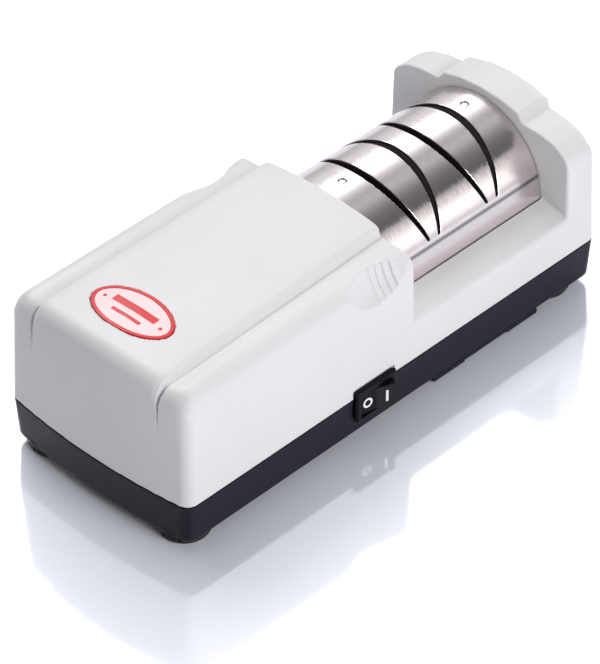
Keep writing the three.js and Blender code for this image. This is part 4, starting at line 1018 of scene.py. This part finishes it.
def rocker_front(x):
    """How far the rocker's dished face stands outside its pivot."""
    return ROCKER_MIDDLE + ROCKER_RISE * np.sqrt(x ** 2 + ROCKER_DISH)


def rocker(x, y, z):
    """The rocker in its own frame: its pivot is the origin, -Y is the outside."""
    drum = np.hypot(x, y) - ROCKER_RADIUS
    return round_and(round_and(-y - rocker_front(x), drum, 0.45), np.abs(z) - ROCKER_HALF_HEIGHT, 0.35)


def rocker_marks(x, y, z):
    """Plain symbols, a bar and a ring, just proud of the rocker's face."""
    skin = slab(-y - rocker_front(x), -0.2, MARK_PROUD)
    half_x, half_z = BAR_HALF
    bar = block(x, z, y * 0, [(MARK_X - half_x, MARK_X + half_x), (-half_z, half_z), (-1, 1)], 0.2)
    ring = np.abs(np.hypot(x + MARK_X, z) - RING_RADIUS) - RING_HALF
    return round_and(np.minimum(bar, ring), skin, 0.05)


def place_rocker(points, normals):
    """Takes points from the rocker's own frame to its place, tilted as at rest."""
    c, s = math.cos(ROCKER_TILT), math.sin(ROCKER_TILT)
    turn = np.array([[c, -s, 0], [s, c, 0], [0, 0, 1]])
    return points @ turn.T + PIVOT, normals @ turn.T


rim_piece = surface_net(
    "switch_bezel",
    bezel,
    lines((frame_low[0] - 0.6, frame_high[0] + 0.6, 0.3)),
    lines((frame_low[1] - 0.6, -44, 0.25), (-44, -30.4, 0.9)),
    lines((frame_low[2] - 0.6, frame_high[2] + 0.6, 0.3)),
)
dress(rim_piece, "body", finishes["switch_plastic"], ["switch_frame"])
rocker_grid = (lines((-8.8, 8.8, 0.25)), lines((-2.8, 1, 0.2), (1, 8.8, 0.6)), lines((-5.4, 5.4, 0.25)))
paddle = surface_net("switch_paddle", rocker, *rocker_grid, place_rocker)
dress(paddle, "rocker", finishes["switch_plastic"], ["switch_rocker"])
symbol_grid = (lines((-7.2, 5.4, 0.14)), lines((-2.4, -0.6, 0.05)), lines((-3, 3, 0.14)))
symbols = surface_net("switch_symbols", rocker_marks, *symbol_grid, place_rocker)
dress(symbols, "rocker", mark_white)


# ---------- Feet and cord inlet ----------

# Half sections of the round pieces: radius, height.
FOOT_PROFILE = [
    (4, 0), (4, 2.9), (10.2, 2.9), (10.2, 1.6), (10.0, 1.2), (10.0, 0.4), (9.7, 0),
    (7.4, 0), (7.0, 0.5), (5.6, 0.5), (5.2, 0),
]
BUSH_PROFILE = [
    (3.3, 0), (3.3, 9.28), (5.4, 9.28), (5.9, 9.0), (6.2, 8.4), (6.9, 7.4), (6.9, 5.8),
    (4.8, 5.8), (4.8, 2), (6.3, 2), (6.3, 0),
]

for place in FEET:
    foot = lathe("foot_pad_" + place, FOOT_PROFILE, (*foot_centre(place), 0), bevel=0.15)
    dress(foot, "body", finishes["foot_rubber"], ["rubber_foot_" + place])

bush = lathe("inlet_bush", BUSH_PROFILE, (INLET_X, bush_low[1], INLET_Z), "Y", bevel=0.25)
dress(bush, "body", finishes["bush_rubber"], ["cord_inlet_bush"])

# CAD pieces that keep their shape and only get rounded edges: radius of each.
ROUNDED_CAD = {
    "blade_guide": 0.25,
    "coarse_wheel": 0.3,
    "fine_wheel": 0.3,
    "wheel_nut": 0.3,
    "bearing_cap": 0.3,
    "motor_bracket_front": 0.3,
    "motor_bracket_rear": 0.3,
}
for node_name, width in ROUNDED_CAD.items():
    soften(frame["nodes"][node_name], width)


# ---------- Floor, light and camera ----------

def stage_floor():
    """A pale, half-glossy floor that mirrors the object faintly."""
    reach = 900.0
    points = [(-reach, -reach, 0), (reach, -reach, 0), (reach, reach, 0), (-reach, reach, 0)]
    floor = mesh_object("studio_floor", points, [(0, 1, 2, 3)])
    n = Nodes("studio_floor")
    n.tree.nodes.remove(n.shader)
    diffuse = n.add("ShaderNodeBsdfDiffuse", {"Color": (0.90, 0.92, 1.0, 1)})
    gloss = n.add("ShaderNodeBsdfGlossy", {"Color": (1, 1, 1, 1), "Roughness": 0.09})
    mix = n.add("ShaderNodeMixShader", {0: 0.25, 1: diffuse.outputs[0], 2: gloss.outputs[0]})
    n.put(n.tree.nodes["Material Output"].inputs["Surface"], mix.outputs[0])
    floor.data.materials.append(n.material)


# Sky brightness by angle above the -Y horizon, over the top to the +Y horizon.
SKY = [
    (-30, 0.5), (-20, 0.30), (-8, 0.35), (0, 0.95), (5, 1.5), (19, 1.5), (24, 1.15), (30, 0.80),
    (36, 0.60), (40, 0.35), (42, 0.12), (48, 0.15), (60, 0.21), (66, 0.27), (72, 0.36), (78, 0.50),
    (84, 0.64), (91, 0.65), (96, 0.54), (102, 0.64), (108, 0.88), (114, 1.4), (120, 2.4), (138, 2.4),
    (145, 1.3), (151, 1.0), (163, 0.90), (168, 0.78), (175, 0.68), (180, 0.60), (190, 0.5),
]


def studio_sky():
    """A soft studio: long panels of light beside the object and overhead, dimmer towards the motor end."""
    world = bpy.data.worlds.new("studio")
    bpy.context.scene.world = world
    world.use_nodes = True
    tree = world.node_tree
    link = tree.links.new

    def node(kind, **settings):
        made = tree.nodes.new(kind)
        for key, value in settings.items():
            setattr(made, key, value)
        return made

    axes = node("ShaderNodeSeparateXYZ")
    link(node("ShaderNodeTexCoord").outputs["Generated"], axes.inputs[0])
    flipped = node("ShaderNodeMath", operation="MULTIPLY")
    flipped.inputs[1].default_value = -1
    link(axes.outputs["Y"], flipped.inputs[0])
    angle = node("ShaderNodeMath", operation="ARCTAN2")
    link(axes.outputs["Z"], angle.inputs[0])
    link(flipped.outputs[0], angle.inputs[1])
    share = node("ShaderNodeMapRange")
    low, high = SKY[0][0], SKY[-1][0]
    share.inputs["From Min"].default_value = math.radians(low)
    share.inputs["From Max"].default_value = math.radians(high)
    link(angle.outputs[0], share.inputs["Value"])
    curve = node("ShaderNodeFloatCurve")
    points = curve.mapping.curves[0].points
    top = max(value for _, value in SKY)
    for i, (degrees, value) in enumerate(SKY):
        place = (degrees - low) / (high - low)
        if i < 2:
            points[i].location = (place, value / top)
        else:
            points.new(place, value / top)
    for point in points:
        point.handle_type = "VECTOR"
    curve.mapping.update()
    link(share.outputs[0], curve.inputs["Value"])
    towards_end = node("ShaderNodeMapRange", interpolation_type="SMOOTHSTEP")
    dimming = {"From Min": -0.5, "From Max": 0.45, "To Min": 0.30 * top, "To Max": top}
    for key, value in dimming.items():
        towards_end.inputs[key].default_value = value
    link(axes.outputs["X"], towards_end.inputs["Value"])
    light = node("ShaderNodeMath", operation="MULTIPLY")
    link(curve.outputs[0], light.inputs[0])
    link(towards_end.outputs[0], light.inputs[1])
    background = tree.nodes["Background"]
    link(light.outputs[0], background.inputs["Strength"])
    background.inputs["Color"].default_value = (0.985, 0.985, 1.0, 1)


def softbox(name, place, size, power):
    """A rectangular area light that faces the object, in metres and watts."""
    light = bpy.data.lights.new(name, "AREA")
    light.shape = "RECTANGLE"
    light.size, light.size_y = size
    light.energy = power
    obj = bpy.data.objects.new(name, light)
    obj.location = place
    obj.rotation_euler = (-Vector(place)).to_track_quat("-Z", "Y").to_euler()
    bpy.context.scene.collection.objects.link(obj)


CAMERA_AZIMUTH = math.radians(-45.906)
CAMERA_ELEVATION = math.radians(39.310)
CAMERA_ROLL = math.radians(-0.055)
CAMERA_AIM = Vector((-13.36, -7.73, 24.69)) * MM
CAMERA_DISTANCE = 1.59062  # in metres
FOCAL_LENGTH = 228.955


def photo_camera():
    """The camera of the reference view: a long lens, looking down along the motor end's corner."""
    azimuth, elevation, roll = CAMERA_AZIMUTH, CAMERA_ELEVATION, CAMERA_ROLL
    level = math.cos(elevation)
    back = Vector((math.sin(azimuth) * level, -math.cos(azimuth) * level, math.sin(elevation)))
    right = (-back).cross(Vector((0, 0, 1))).normalized()
    up = right.cross(-back)
    turned_right = right * math.cos(roll) + up * math.sin(roll)
    turned_up = -right * math.sin(roll) + up * math.cos(roll)
    data = bpy.data.cameras.new("camera")
    data.sensor_width = 36
    data.lens = FOCAL_LENGTH
    data.clip_start, data.clip_end = 0.1, 20
    camera = bpy.data.objects.new("camera", data)
    basis = Matrix((turned_right, turned_up, back)).transposed().to_4x4()
    camera.matrix_world = Matrix.Translation(CAMERA_AIM + back * CAMERA_DISTANCE) @ basis
    bpy.context.scene.collection.objects.link(camera)
    bpy.context.scene.camera = camera


stage_floor()
studio_sky()
softbox("overhead", place=(0.1, 0.55, 0.85), size=(0.6, 0.5), power=4.2)
softbox("front_fill", place=(-0.1, -0.85, 0.5), size=(0.6, 0.4), power=5.5)
photo_camera()
bpy.context.scene.view_settings.view_transform = "Standard"
